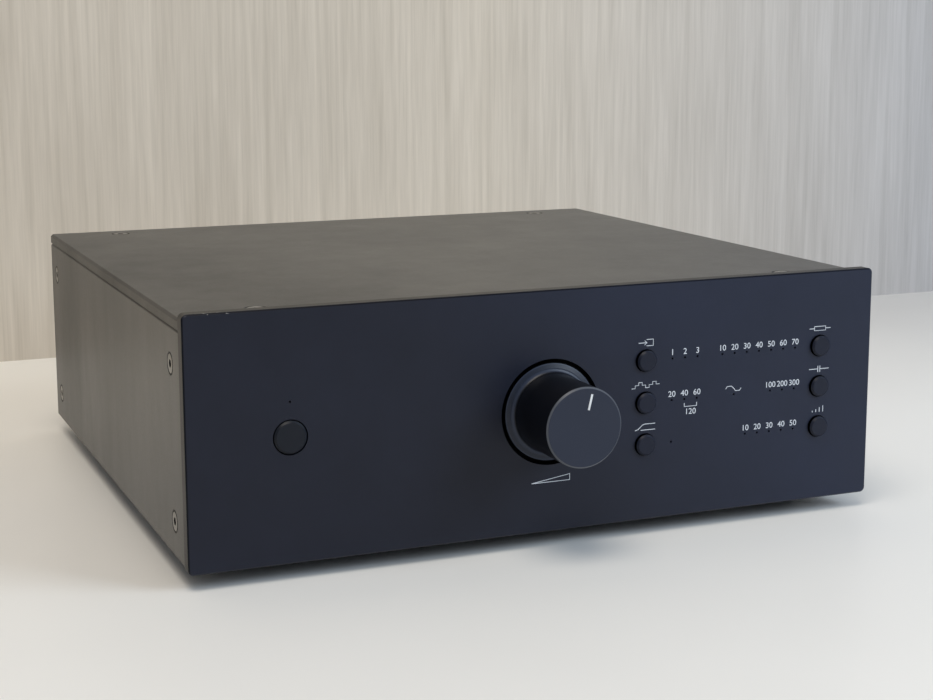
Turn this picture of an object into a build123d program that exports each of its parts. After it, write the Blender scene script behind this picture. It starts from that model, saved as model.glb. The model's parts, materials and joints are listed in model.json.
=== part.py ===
from build123d import *
import os

# A phono preamp in a black aluminium case, built as it comes apart on a bench.
# Millimetres. +X is to the right seen from the front, the front panel faces -Y and +Z is up.
# The origin is the middle of the bounding box at the level that the feet stand on.
# Screw shanks, tapped holes and other small round pieces that repeat have flat sides.

# ---------------------------------------------------------------- case
case_width = 206.0
case_height = 72.0  # feet to the top edge of the front panel
case_depth = 194.0  # face of the front panel to the rear edges of the cover and sides
panel_height = 67.6
panel_thickness = 4.0
panel_corner = 1.5
panel_chamfer = 0.4
panel_rise = 1.6  # the panel's top edge over the top cover
panel_drop = 1.2  # the panel's lower edge under the bottom plate
cover_thickness = 3.0
cover_chamfer = 0.7
cover_seam = 0.4  # shadow gap between the cover and the side panels
side_thickness = 2.5
side_chamfer = 0.4
bottom_thickness = 2.0
rear_thickness = 2.0
rear_inset = 1.0
sheet = 1.5  # the folded frames behind the panels
flange_depth = 16.0
corner_relief = 3.0
plate_gap = 0.1  # assembly clearance round a plate that lies between two others

# ---------------------------------------------------------------- level control
knob_x = -1.1
knob_radius = 11.0
knob_reach = 20.5  # in front of the panel
knob_chamfer = 0.5
knob_fillet = 1.3
skirt_radius = 13.85
skirt_gap = 0.95
skirt_sink = 0.4
skirt_slope = 0.5
skirt_thickness = 1.1
mark_angle = 13.5  # degrees clockwise from straight up, at rest
mark_width = 0.7
mark_inner = 4.8
mark_outer = 9.2
mark_depth = 0.15
shaft_radius = 3.0
shaft_reach = 12.0  # in front of the panel
shaft_flat = 1.5  # from the shaft's axis to its flat
shaft_bevel = 0.4
shaft_fit = 0.02
shaft_running = 0.05
bush_radius = 3.5
bush_reach = 3.7  # in front of the control's housing
rotor_radius = 4.4
rotor_thickness = 1.2
rotor_gap = 0.3
pot_width = 12.0
pot_height = 13.0
pot_nut_flats = 10.0
pot_nut_thickness = 2.0
set_screw_radius = 1.5
set_screw_length = 4.0
set_screw_forward = 6.0  # its axis in front of the panel
set_screw_socket = 1.5

# ---------------------------------------------------------------- keys and lamps
cluster_x = 56.7
column_offset = 28.6
row_pitch = 12.0
key_radius = 3.0
key_reach = 1.3
key_chamfer = 0.5
key_gap = 0.25
power_x = -75.3
power_radius = 4.4
power_reach = 0.5
power_gap = 0.35
flange_lip = 1.0  # how far a key's square flange stands out round its cap
flange_thickness = 1.0
flange_gap = 0.3
key_land = 2.4  # wall of the panel left in front of a key's flange
stem_width = 3.0
well_width = 3.8
well_depth = 1.6
switch_size = (6.2, 3.4, 6.2)
led_pitch = 4.04
led_rows = {
    1: (-5, -4, -3, -1, 0, 1, 2, 3, 4, 5),
    0: (-5, -4, -3, 0, 3, 4, 5),
    -1: (-5, 1, 2, 3, 4, 5),
}
power_led_rise = 9.4
led_size = (2.0, 1.0, 1.25)
pinhole_radius = 0.3
pinhole_length = 1.0
pipe_width = 2.0
pipe_gap = 0.1
slot_width = 2.4

# ---------------------------------------------------------------- fasteners
shank_radius = 1.45
thread_radius = 1.5
clear_radius = 1.7
head_radius = 2.9
sink_radius = 3.2
head_height = 1.6
socket_flats = 2.0
socket_depth = 1.1
screw_length = 8.0
collar_radius = 3.0
collar_height = 3.0
cover_screw_x = 80.2
cover_screw_inset = 8.6
side_screw_inset = 9.7
small_head_radius = 2.2
small_head_height = 1.3
small_shank_radius = 1.2
small_thread_radius = 1.25
small_clear_radius = 1.4

# ---------------------------------------------------------------- flat sides of small round pieces
thread_sides = 6
small_sides = 12
head_sides = 16
round_sides = 24

# ---------------------------------------------------------------- boards
front_board_depth = 12.0  # its face behind the front face of the panel
front_board_half_width = 91.0
front_board_half_height = 21.0
board_thickness = 1.6
window_half_height = 22.5
left_window = (-92.0, -58.0)
right_window = (12.0, 92.0)
panel_screw_x = 48.0
panel_screw_depth = 2.5
standoff_radius = 3.2
standoff_spots = (-86.0, 77.0)
standoff_rise = 18.6
main_board_half_width = 91.5
main_board_front = 26.0  # behind the front face of the panel
main_board_rear_gap = 2.5
pillar_height = 8.0
pillar_radius = 3.2
pillar_x = 84.0
pillar_front = 36.0  # behind the front face of the panel
pillar_rear = 30.0  # in front of the rear edges
board_screw_length = 5.0
board_screw_well = 6.0  # depth of the threaded hole in a standoff or pillar

# ---------------------------------------------------------------- rear sockets
jack_columns = (80.0, 46.0, 18.0)  # phono input, line input and line output
jack_rise = 9.0  # lower socket's axis over the main board
jack_pitch = 14.0
jack_block_width = 12.0
jack_block_depth = 17.0
jack_block_height = 32.0
jack_gap = 0.3
jack_nose_radius = 4.8
jack_nose_reach = 0.6
shell_radius = 4.15
shell_wall = 0.55
shell_reach = 9.0
contact_radius = 1.95
contact_bore = 1.6
contact_recess = 1.6
insulator_recess = 2.0
usb_x = -38.0
usb_width = 12.1
usb_height = 10.9
usb_depth = 16.0
usb_reach = 0.6
usb_wall = 0.4
usb_port_width = 8.6
usb_port_height = 7.9
usb_port_chamfer = 1.6
usb_port_depth = 9.0
usb_tongue_width = 5.6
usb_tongue_height = 3.2
usb_tongue_length = 8.0
optical_x = -13.0
optical_width = 10.4
optical_height = 11.0
optical_depth = 14.0
optical_reach = 0.8
optical_port = 8.0
optical_port_depth = 10.0
flap_thickness = 1.0
flap_gap = 0.3
flap_sink = 1.0
flap_pin_radius = 0.35
dc_x = -68.0
dc_width = 9.0
dc_height = 11.0
dc_depth = 14.2
dc_nose_radius = 4.2
dc_nose_reach = 0.6
dc_bore_radius = 2.9
dc_bore_depth = 9.5
dc_pin_radius = 1.05
ground_x = 63.0
ground_rise = 16.0  # over the main board
ground_radius = 2.0
ground_reach = 13.0
ground_root = 7.0
ground_nut_flats = 7.0
ground_nut_thickness = 3.0
shoulder_radius = 4.6
shoulder_thickness = 1.8
washer_thickness = 0.8
thumb_radius = 5.0
thumb_length = 6.0
terminal_gap = 0.1
terminal_running = 0.08
rear_screw_x = 94.0
rear_screw_low = 22.0
rear_screw_high = 52.0

# ---------------------------------------------------------------- components on the boards
# Depths count from the front face of the panel, insets from the rear edges of the case.
relay_size = (7.5, 10.6, 9.0)
relay_insets = (48.0, 34.0)
relay_columns = (72.0, 60.0, 48.0, 36.0, 24.0)
film_size = (13.0, 5.0, 9.5)
film_insets = (72.0, 88.0)
film_columns = (68.0, 50.0, 32.0)
can_radius = 5.0
can_height = 16.0
can_depths = (60.0, 76.0, 92.0)
can_columns = (-72.0, -58.0, -44.0)
chip_size = (5.0, 4.0, 1.6)
chip_depths = (64.0, 82.0)
chip_columns = (70.0, 54.0, 38.0, 22.0)
converter_size = (12.0, 12.0, 1.4)
converter_spots = ((-30.0, 54.0), (-14.0, 78.0))  # X and inset
sink_size = (44.0, 5.0, 24.0)
sink_x = -60.0
sink_depth = 128.0
sink_fins = 9
fin_depth = 3.0
regulator_size = (10.2, 4.4, 15.0)
regulator_rise = 5.0
regulator_leg = (5.0, 0.6)
regulator_columns = (-74.0, -60.0, -46.0)
ribbon_width = 25.4
ribbon_thickness = 0.9
ribbon_x = -30.0
ribbon_bend = 7.0
ribbon_depth = 46.0
ribbon_drop = 4.0  # its level run under the middle of the panel
connector_size = (30.0, 8.0, 8.6)

# ---------------------------------------------------------------- feet
foot_radius = 7.5
foot_top_radius = 6.9
foot_x = 86.0
foot_inset = 26.0  # from the front face of the panel and from the rear edges

# ---------------------------------------------------------------- levels and depths worked out
half_width = case_width / 2
inner_half = half_width - side_thickness
panel_bottom = case_height - panel_height
panel_middle = (case_height + panel_bottom) / 2
cover_top = case_height - panel_rise
cover_under = cover_top - cover_thickness
base_under = panel_bottom + panel_drop
base_top = base_under + bottom_thickness
side_top = cover_under - cover_seam
rear_reach = ground_reach - rear_inset
front = knob_reach - (knob_reach + case_depth + rear_reach) / 2
panel_back = front + panel_thickness
case_rear = front + case_depth
rear_outer = case_rear - rear_inset
rear_inner = rear_outer - rear_thickness
front_board_face = front + front_board_depth
front_board_back = front_board_face + board_thickness
board_under = base_top + pillar_height
board_top = board_under + board_thickness
window_low = panel_middle - window_half_height
window_high = panel_middle + window_half_height
rows = {1: panel_middle + row_pitch, 0: panel_middle, -1: panel_middle - row_pitch}
keys = {
    "input_button": (cluster_x - column_offset, rows[1]),
    "rate_button": (cluster_x - column_offset, rows[0]),
    "filter_button": (cluster_x - column_offset, rows[-1]),
    "resistance_button": (cluster_x + column_offset, rows[1]),
    "capacitance_button": (cluster_x + column_offset, rows[0]),
    "gain_button": (cluster_x + column_offset, rows[-1]),
}
power_led = (power_x, panel_middle + power_led_rise)
leds = [(cluster_x + step * led_pitch, rows[row]) for row in led_rows for step in led_rows[row]]
leds.append(power_led)
cover_screws = [
    (x, y)
    for x in (-cover_screw_x, cover_screw_x)
    for y in (panel_back + cover_screw_inset, case_rear - cover_screw_inset)
]
side_screws = [
    (y, z)
    for y in (panel_back + side_screw_inset, case_rear - side_screw_inset)
    for z in (base_under + side_screw_inset, side_top - side_screw_inset)
]
panel_screws = [
    (x, z)
    for x in (-panel_screw_x, panel_screw_x)
    for z in ((base_top + sheet + window_low) / 2, (cover_under - sheet + window_high) / 2)
]
standoffs = [(x, panel_middle + side * standoff_rise) for x in standoff_spots for side in (-1, 1)]
pillar_rows = (front + pillar_front, case_rear - pillar_rear)
pillars = [(x, y) for x in (-pillar_x, pillar_x) for y in pillar_rows]
foot_spots = [(x, y) for x in (-foot_x, foot_x) for y in (front + foot_inset, case_rear - foot_inset)]
rear_screws = [(x, z) for x in (-rear_screw_x, rear_screw_x) for z in (rear_screw_low, rear_screw_high)]
jack_low = board_top + jack_rise
jack_high = jack_low + jack_pitch
jack_middle = (jack_low + jack_high) / 2
ground_z = board_top + ground_rise
sink_y = front + sink_depth
ribbon_rear = front + ribbon_depth
ribbon_level = panel_middle - ribbon_drop

# ---------------------------------------------------------------- helpers
spare = 1.0  # how far a cutter starts outside the piece it cuts
upright = Rot(0, 0, 0)
face_down = Rot(180, 0, 0)
face_left = Rot(0, -90, 0)
face_right = Rot(0, 90, 0)
face_rear = Rot(-90, 0, 0)


def block(x, y, z):
    """Block between two X, two Y and two Z values."""
    spans = (x, y, z)
    middle = [(low + high) / 2 for low, high in spans]
    size = [abs(high - low) for low, high in spans]
    return Pos(*middle) * Box(*size)


def about(middle, width):
    """The two ends of a span of that width."""
    return (middle - width / 2, middle + width / 2)


def bar(x, z, start, end, radius, sides=0):
    """Bar along Y, round or with flat sides inside the radius."""
    section = RegularPolygon(radius, sides) if sides else Circle(radius)
    return Pos(x, start, z) * face_rear * extrude(section, end - start)


def post(x, y, low, high, radius, sides=0):
    """Bar along Z, round or with flat sides inside the radius."""
    section = RegularPolygon(radius, sides) if sides else Circle(radius)
    return Pos(x, y, low) * extrude(section, high - low)


def hole(x, z, start, end, radius, sides=thread_sides):
    """Prism along Y whose flat sides lie outside the radius: a cutter, or a nut before its hole."""
    section = RegularPolygon(radius, sides, major_radius=False)
    return Pos(x, start, z) * face_rear * extrude(section, end - start)


def upright_hole(x, y, low, high, radius, sides=thread_sides):
    """Cutter along Z whose flat sides lie outside the radius."""
    section = RegularPolygon(radius, sides, major_radius=False)
    return Pos(x, y, low) * extrude(section, high - low)


def turned(outline, x, z):
    """Piece turned about a line along Y: the outline's points are radius and Y."""
    face = make_face(Polyline(*outline, close=True))
    return Pos(x, 0, z) * revolve(face, Axis.Y)


def group(solids):
    """Separate solids that share a node."""
    return Compound(children=list(solids))


def screws_at(turn, places, screw):
    """The same screw at several places, turned the same way."""
    return group(Pos(*place) * turn * screw for place in places)


def countersunk_screw():
    """M3 countersunk screw with a hexagon socket, its face at Z 0 and its shank downwards."""
    face = RegularPolygon(head_radius, head_sides)
    neck = Pos(0, 0, -head_height) * RegularPolygon(shank_radius, head_sides)
    head = loft([face, neck], ruled=True)
    shank = post(0, 0, -screw_length, -head_height, shank_radius, thread_sides)
    return head + shank - upright_hole(0, 0, -socket_depth, spare, socket_flats / 2)


def countersunk_hole(depth):
    """Cutter for a countersunk screw through a plate of the given thickness, from Z 0 downwards."""
    face = RegularPolygon(sink_radius, head_sides, major_radius=False)
    neck = Pos(0, 0, -head_height) * RegularPolygon(clear_radius, head_sides, major_radius=False)
    return loft([face, neck], ruled=True) + upright_hole(0, 0, -depth - spare, -head_height / 2, clear_radius)


def small_screw(length):
    """M2.5 screw with a flat round head: the head's seat is at Z 0, the shank below."""
    head = post(0, 0, 0, small_head_height, small_head_radius, small_sides)
    return head + post(0, 0, -length, 0, small_shank_radius, thread_sides)


# ---------------------------------------------------------------- case pieces
def front_panel():
    """Aluminium plate with every control hole, stepped from behind for the keys and light pipes."""
    plate = block((-half_width, half_width), (front, panel_back), (panel_bottom, case_height))
    plate = fillet(plate.edges().filter_by(Axis.Y), panel_corner)
    plate = chamfer(plate.faces().sort_by(Axis.Y)[0].edges(), panel_chamfer)
    start, end = front - spare, panel_back + spare
    cuts = [bar(knob_x, panel_middle, start, end, skirt_radius + skirt_gap)]
    cuts += [key_cutter(x, z, key_radius, key_gap) for x, z in keys.values()]
    cuts.append(key_cutter(power_x, panel_middle, power_radius, power_gap))
    cuts += [hole(x, z, start, end, pinhole_radius) for x, z in leds]
    slot_start = front + pinhole_length
    for row, steps in led_rows.items():
        first, last = cluster_x + steps[0] * led_pitch, cluster_x + steps[-1] * led_pitch
        x = (first - slot_width / 2, last + slot_width / 2)
        cuts.append(block(x, (slot_start, end), about(rows[row], slot_width)))
    x, z = power_led
    cuts.append(block(about(x, slot_width), (slot_start, end), about(z, slot_width)))
    cuts += [hole(x, z, panel_back - panel_screw_depth, end, small_thread_radius) for x, z in panel_screws]
    return plate - cuts


def key_cutter(x, z, radius, gap):
    """Cutter for a key: a round hole through the panel and a square pocket for the flange behind it."""
    pocket = 2 * (radius + flange_lip + flange_gap)
    through = bar(x, z, front - spare, panel_back, radius + gap)
    return through + block(about(x, pocket), (front + key_land, panel_back + spare), about(z, pocket))


def folded_frame(web, inwards):
    """Frame folded from one sheet: a web behind a panel and four flanges with pressed nuts in them."""
    far = web + inwards * flange_depth
    inside = web + inwards * sheet
    beyond = far + inwards * spare
    frame = block((-inner_half, inner_half), (web, far), (base_top, cover_under))
    frame -= block(
        (sheet - inner_half, inner_half - sheet), (inside, beyond), (base_top + sheet, cover_under - sheet)
    )
    for x in (-inner_half, inner_half):
        for z in (base_top, cover_under):
            frame -= block(about(x, 2 * corner_relief), (inside, beyond), about(z, 2 * corner_relief))
    low, high = sorted((web, far))
    reach = sheet + collar_height
    holes = []
    for x, y in cover_screws:
        if low < y < high:
            frame += post(x, y, cover_under - reach, cover_under, collar_radius, thread_sides)
            frame += post(x, y, base_top, base_top + reach, collar_radius, thread_sides)
            holes.append(upright_hole(x, y, base_top - spare, cover_under + spare, thread_radius))
    for y, z in side_screws:
        if low < y < high:
            turn = Pos(0, y, z) * face_right
            for start in (-inner_half, inner_half - reach):
                frame += turn * post(0, 0, start, start + reach, collar_radius, thread_sides)
            holes.append(turn * upright_hole(0, 0, -half_width, half_width, thread_radius))
    return frame - holes


def front_frame():
    """Folded frame behind the front panel, with two windows and the hole for the level control."""
    start, end = panel_back - spare, panel_back + sheet + spare
    cuts = [block(x, (start, end), (window_low, window_high)) for x in (left_window, right_window)]
    cuts.append(bar(knob_x, panel_middle, start, end, bush_radius + shaft_running))
    cuts += [hole(x, z, start, end, small_thread_radius) for x, z in panel_screws]
    return folded_frame(panel_back, 1) - cuts


def rear_frame():
    """Folded frame in front of the rear panel, open round the sockets."""
    start, end = rear_inner - sheet - collar_height, rear_inner
    window_x = rear_screw_x - collar_radius - sheet
    frame = folded_frame(rear_inner, -1)
    frame -= block(
        (-window_x, window_x), (rear_inner - sheet - spare, end + spare), (board_under - sheet, window_high)
    )
    for x, z in rear_screws:
        frame += bar(x, z, start, end, collar_radius, thread_sides)
    return frame - [hole(x, z, start - spare, end + spare, thread_radius) for x, z in rear_screws]


def top_cover():
    """Aluminium plate with chamfered side edges and four countersunk holes."""
    cover = block((-half_width, half_width), (panel_back, case_rear), (cover_under, cover_top))
    cover = chamfer(cover.faces().sort_by(Axis.Z)[-1].edges().filter_by(Axis.Y), cover_chamfer)
    return cover - [Pos(x, y, cover_top) * countersunk_hole(cover_thickness) for x, y in cover_screws]


def side_panel(side):
    """Aluminium plate on one side of the case: side is -1 for the left and 1 for the right."""
    outer = side * half_width
    plate = block((side * inner_half, outer), (panel_back, case_rear), (base_under, side_top))
    face = plate.faces().sort_by(Axis.X)[-1 if side > 0 else 0]
    plate = chamfer(face.edges().filter_by(Axis.Y), side_chamfer)
    turn = face_right if side > 0 else face_left
    return plate - [Pos(outer, y, z) * turn * countersunk_hole(side_thickness) for y, z in side_screws]


def bottom_plate():
    """Steel plate between the side panels."""
    edge = inner_half - plate_gap
    plate = block((-edge, edge), (panel_back, rear_inner - plate_gap), (base_under, base_top))
    sunk = face_down * countersunk_hole(bottom_thickness)
    return plate - [Pos(x, y, base_under) * sunk for x, y in cover_screws]


def rear_panel():
    """Steel plate that carries every socket."""
    edge = inner_half - plate_gap
    start, end = rear_inner - spare, rear_outer + spare
    plate = block((-edge, edge), (rear_inner, rear_outer), (base_under, side_top))
    cuts = [hole(x, z, start, end, jack_nose_radius + jack_gap, round_sides) for x, z in jacks]
    cuts += [hole(x, jack_middle, start, end, small_clear_radius) for x in jack_columns]
    for x, width, height in ((usb_x, usb_width, usb_height), (optical_x, optical_width, optical_height)):
        z = about(board_top + height / 2, height + 2 * jack_gap)
        cuts.append(block(about(x, width + 2 * jack_gap), (start, end), z))
    cuts.append(hole(dc_x, board_top + dc_height / 2, start, end, dc_nose_radius + jack_gap, round_sides))
    cuts.append(hole(ground_x, ground_z, start, end, ground_radius + plate_gap, small_sides))
    cuts += [Pos(x, rear_outer, z) * face_rear * countersunk_hole(rear_thickness) for x, z in rear_screws]
    return plate - cuts


def feet():
    """Round rubber feet stuck under the bottom plate, a little wider where they stand."""
    sole = RegularPolygon(foot_radius, round_sides)
    top = Pos(0, 0, base_under) * RegularPolygon(foot_top_radius, round_sides)
    foot = loft([sole, top], ruled=True)
    return group(Pos(x, y, 0) * foot for x, y in foot_spots)


# ---------------------------------------------------------------- controls
level_turn = Pos(knob_x, 0, panel_middle) * Rot(0, mark_angle, 0)


def level_knob():
    """Turned aluminium knob: a cylinder that flares into a skirt sunk in the panel's hole."""
    tip = front - knob_reach
    rim = front + skirt_sink
    flare = knob_radius + knob_fillet
    skirt_face = rim - skirt_slope
    bore_front = front - shaft_reach - shaft_running
    bore_radius = shaft_radius + shaft_fit
    outline = Polyline(
        (flare, skirt_face),
        (skirt_radius, rim),
        (skirt_radius, rim + skirt_thickness),
        (bore_radius, rim + skirt_thickness),
        (bore_radius, bore_front),
        (0, bore_front),
        (0, tip),
        (knob_radius - knob_chamfer, tip),
        (knob_radius, tip + knob_chamfer),
        (knob_radius, skirt_face - knob_fillet),
    )
    curve = RadiusArc((knob_radius, skirt_face - knob_fillet), (flare, skirt_face), knob_fillet)
    knob = revolve(make_face(outline + curve), Axis.Y)
    knob -= block(about(0, mark_width), (tip - spare, tip + mark_depth), (mark_inner, mark_outer))
    knob -= upright_hole(0, front - set_screw_forward, -knob_radius, 0, set_screw_radius, small_sides)
    return level_turn * knob


def knob_set_screw():
    """Grub screw that holds the knob on the flat of the shaft, on the side away from the mark."""
    end = -shaft_flat - shaft_fit
    start = end - set_screw_length
    screw = post(0, front - set_screw_forward, start, end, set_screw_radius, small_sides)
    screw -= upright_hole(0, front - set_screw_forward, start, start + set_screw_socket, set_screw_socket / 2)
    return level_turn * screw


def pot_shaft():
    """Shaft of the level control, with a flat for the set screw and the rotor that carries the wiper."""
    tip = front - shaft_reach
    rotor_back = front_board_face - rotor_gap
    rotor_front = rotor_back - rotor_thickness
    outline = [
        (0, tip),
        (shaft_radius - shaft_bevel, tip),
        (shaft_radius, tip + shaft_bevel),
        (shaft_radius, rotor_front),
        (rotor_radius, rotor_front),
        (rotor_radius, rotor_back),
        (0, rotor_back),
    ]
    flat = block(about(0, 2 * shaft_radius), (tip, front - key_reach), (-shaft_radius, -shaft_flat))
    return level_turn * (turned(outline, 0, 0) - flat)


def pot_body():
    """Housing of the level control with its threaded bush, open behind for the rotor."""
    body_front = panel_back + sheet
    cavity = rotor_thickness + 2 * rotor_gap
    height = about(panel_middle, pot_height)
    body = block(about(knob_x, pot_width), (body_front, front_board_face), height)
    body += bar(knob_x, panel_middle, body_front - bush_reach, body_front, bush_radius, round_sides)
    body -= hole(knob_x, panel_middle, front, front_board_face, shaft_radius + shaft_running, round_sides)
    start = front_board_face - cavity
    return body - hole(knob_x, panel_middle, start, front_board_face, rotor_radius + rotor_gap, round_sides)


def pot_nut():
    """Hexagon nut that clamps the level control's bush to the front frame."""
    start = panel_back - pot_nut_thickness
    nut = hole(knob_x, panel_middle, start, panel_back, pot_nut_flats / 2)
    return nut - hole(knob_x, panel_middle, start, panel_back, bush_radius + shaft_running, round_sides)


def key(x, z, radius, reach):
    """Push key: a chamfered round cap, a square flange behind the panel and a stem to the switch."""
    tip = front - reach
    flange = front + key_land + flange_gap
    stem_start = flange + flange_thickness
    stem_end = front_board_face - switch_size[1] + well_depth / 2
    flange_width = 2 * (radius + flange_lip)
    cap = [(0, tip), (radius - key_chamfer, tip), (radius, tip + key_chamfer), (radius, flange), (0, flange)]
    body = turned(cap, x, z) + block(about(x, flange_width), (flange, stem_start), about(z, flange_width))
    return body + block(about(x, stem_width), (stem_start, stem_end), about(z, stem_width))


def button_switches():
    """Push switches on the front board, each with the well that its key's stem presses in."""
    width, depth, height = switch_size
    start = front_board_face - depth
    switch = block(about(0, width), (start, front_board_face), about(0, height))
    switch -= block(about(0, well_width), (start - spare, start + well_depth), about(0, well_width))
    spots = [*keys.values(), (power_x, panel_middle)]
    return group(Pos(x, 0, z) * switch for x, z in spots)


def indicator_leds():
    """One small lamp on the front board behind each pinhole."""
    width, depth, height = led_size
    lamp = block(about(0, width), (front_board_face - depth, front_board_face), about(0, height))
    return group(Pos(x, 0, z) * lamp for x, z in leds)


def light_pipes():
    """Clear square rods that carry the light from the lamps to the pinholes."""
    start = front + pinhole_length + pipe_gap
    end = front_board_face - led_size[1] - pipe_gap
    rod = block(about(0, pipe_width), (start, end), about(0, pipe_width))
    return group(Pos(x, 0, z) * rod for x, z in leds)


# ---------------------------------------------------------------- boards
def front_board():
    """Circuit board behind the front panel."""
    depth = (front_board_face, front_board_back)
    height = about(panel_middle, 2 * front_board_half_height)
    board = block(about(0, 2 * front_board_half_width), depth, height)
    start, end = front_board_face - spare, front_board_back + spare
    return board - [hole(x, z, start, end, small_clear_radius) for x, z in standoffs]


def panel_standoffs():
    """Hexagonal spacers between the front panel and its board, threaded at the board's end."""
    start = front_board_face - board_screw_well
    spacer = bar(0, 0, panel_back, front_board_face, standoff_radius, thread_sides)
    spacer -= hole(0, 0, start, front_board_face, small_thread_radius)
    return group(Pos(x, 0, z) * spacer for x, z in standoffs)


def main_board():
    """Circuit board over the bottom plate."""
    depth = (front + main_board_front, rear_inner - main_board_rear_gap)
    board = block(about(0, 2 * main_board_half_width), depth, (board_under, board_top))
    low, high = board_under - spare, board_top + spare
    return board - [upright_hole(x, y, low, high, small_clear_radius) for x, y in pillars]


def board_pillars():
    """Hexagonal pillars pressed to the bottom plate, threaded for the board's screws."""
    pillar = post(0, 0, base_top, board_under, pillar_radius, thread_sides)
    pillar -= upright_hole(0, 0, board_under - board_screw_well, board_under, small_thread_radius)
    return group(Pos(x, y, 0) * pillar for x, y in pillars)


def board_screws():
    """Screws that hold both boards to their spacers and pillars."""
    screw = small_screw(board_screw_length)
    front_ones = [Pos(x, front_board_back, z) * face_rear * screw for x, z in standoffs]
    return group(front_ones + [Pos(x, y, board_top) * screw for x, y in pillars])


# ---------------------------------------------------------------- rear sockets
left_jacks = [(x, jack_high) for x in jack_columns]
right_jacks = [(x, jack_low) for x in jack_columns]
jacks = left_jacks + right_jacks
nose_face = rear_outer + jack_nose_reach
jack_mouth = rear_outer + shell_reach
optical_mouth = rear_outer + optical_reach
optical_middle = board_top + optical_height / 2
flap_outer = optical_mouth - flap_sink
flap_axis_y = flap_outer - flap_thickness / 2
flap_axis_z = optical_middle + optical_port / 2 - flap_gap - flap_thickness / 2
washer_start = rear_outer + shoulder_thickness + terminal_gap
thumb_start = washer_start + washer_thickness + terminal_gap


def jack_blocks():
    """Moulded housings of the phono sockets, two sockets one over the other in each."""
    depth = (rear_inner - jack_block_depth, rear_inner)
    housing = block(about(0, jack_block_width), depth, (board_top, board_top + jack_block_height))
    for z in (jack_low, jack_high):
        housing += bar(0, z, rear_inner, nose_face, jack_nose_radius, round_sides)
    housing -= hole(0, jack_middle, rear_inner - screw_length, rear_inner, small_thread_radius)
    return group(Pos(x, 0, 0) * housing for x in jack_columns)


def jack_sleeve():
    """Outer contact of a phono socket, a tube that a plug grips."""
    tube = bar(0, 0, nose_face, jack_mouth, shell_radius)
    return tube - hole(0, 0, nose_face, jack_mouth, shell_radius - shell_wall, head_sides)


def jack_insulator():
    """Coloured insulator between the two contacts of a phono socket."""
    end = jack_mouth - insulator_recess
    ring = hole(0, 0, nose_face, end, shell_radius - shell_wall, head_sides)
    return ring - hole(0, 0, nose_face, end, contact_radius, small_sides)


def jack_contact():
    """Centre contact of a phono socket, a tube for the plug's pin."""
    end = jack_mouth - contact_recess
    tube = hole(0, 0, nose_face, end, contact_radius, small_sides)
    return tube - hole(0, 0, nose_face + spare, end, contact_bore, small_sides)


def at_jacks(spots, piece):
    """The same piece in each of those phono sockets."""
    return group(Pos(x, 0, z) * piece for x, z in spots)


def usb_shell():
    """Metal shell of the square data socket."""
    mouth = rear_outer + usb_reach
    z = board_top + usb_height / 2
    shell = block(about(usb_x, usb_width), (mouth - usb_depth, mouth), about(z, usb_height))
    inside = (mouth - usb_depth + usb_wall, mouth + spare)
    return shell - block(about(usb_x, usb_width - 2 * usb_wall), inside, about(z, usb_height - 2 * usb_wall))


def usb_core():
    """Moulded insert of the data socket: a port with two cut corners round a tongue."""
    mouth = rear_outer + usb_reach - usb_wall
    floor = mouth - usb_port_depth
    back = rear_outer + usb_reach - usb_depth + usb_wall
    z = board_top + usb_height / 2
    height = about(z, usb_height - 2 * usb_wall)
    insert = block(about(usb_x, usb_width - 2 * usb_wall), (back, mouth), height)
    port = block(about(usb_x, usb_port_width), (floor, mouth + spare), about(z, usb_port_height))
    port = chamfer(port.edges().filter_by(Axis.Y).group_by(Axis.Z)[-1], usb_port_chamfer)
    depth = (floor, floor + usb_tongue_length)
    tongue = block(about(usb_x, usb_tongue_width), depth, about(z, usb_tongue_height))
    return insert - (port - tongue)


def optical_socket():
    """Housing of the optical output, with a square port that a flap closes."""
    depth = (optical_mouth - optical_depth, optical_mouth)
    housing = block(about(optical_x, optical_width), depth, about(optical_middle, optical_height))
    inside = (optical_mouth - optical_port_depth, optical_mouth + spare)
    housing -= block(about(optical_x, optical_port), inside, about(optical_middle, optical_port))
    reach = optical_port / 2 + flap_thickness
    pivot = Pos(optical_x, flap_axis_y, flap_axis_z) * face_right
    return housing - pivot * upright_hole(0, 0, -reach, reach, flap_pin_radius + shaft_running, small_sides)


def optical_flap():
    """Flap of the optical output, hinged on two pins at the top of the port."""
    half = optical_port / 2 - flap_gap
    reach = optical_port / 2 + flap_thickness - plate_gap
    depth = (flap_outer - flap_thickness, flap_outer)
    pivot = Pos(optical_x, flap_axis_y, flap_axis_z) * face_right
    flap = block(about(optical_x, 2 * half), depth, (optical_middle - half, flap_axis_z))
    flap += pivot * post(0, 0, -half, half, flap_thickness / 2, small_sides)
    return flap + pivot * post(0, 0, -reach, reach, flap_pin_radius)


def dc_inlet():
    """Moulded power inlet with a round nose through the rear panel."""
    z = board_top + dc_height / 2
    mouth = rear_outer + dc_nose_reach
    back = rear_inner - dc_depth
    housing = block(about(dc_x, dc_width), (back, rear_inner), (board_top, board_top + dc_height))
    housing += bar(dc_x, z, rear_inner, mouth, dc_nose_radius, round_sides)
    housing -= hole(dc_x, z, mouth - dc_bore_depth, mouth + spare, dc_bore_radius, head_sides)
    return housing - hole(dc_x, z, back + rear_thickness, mouth, dc_pin_radius, small_sides)


def dc_pin():
    """Centre pin of the power inlet."""
    start = rear_inner - dc_depth + rear_thickness
    return bar(dc_x, board_top + dc_height / 2, start, rear_outer, dc_pin_radius, small_sides)


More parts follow.
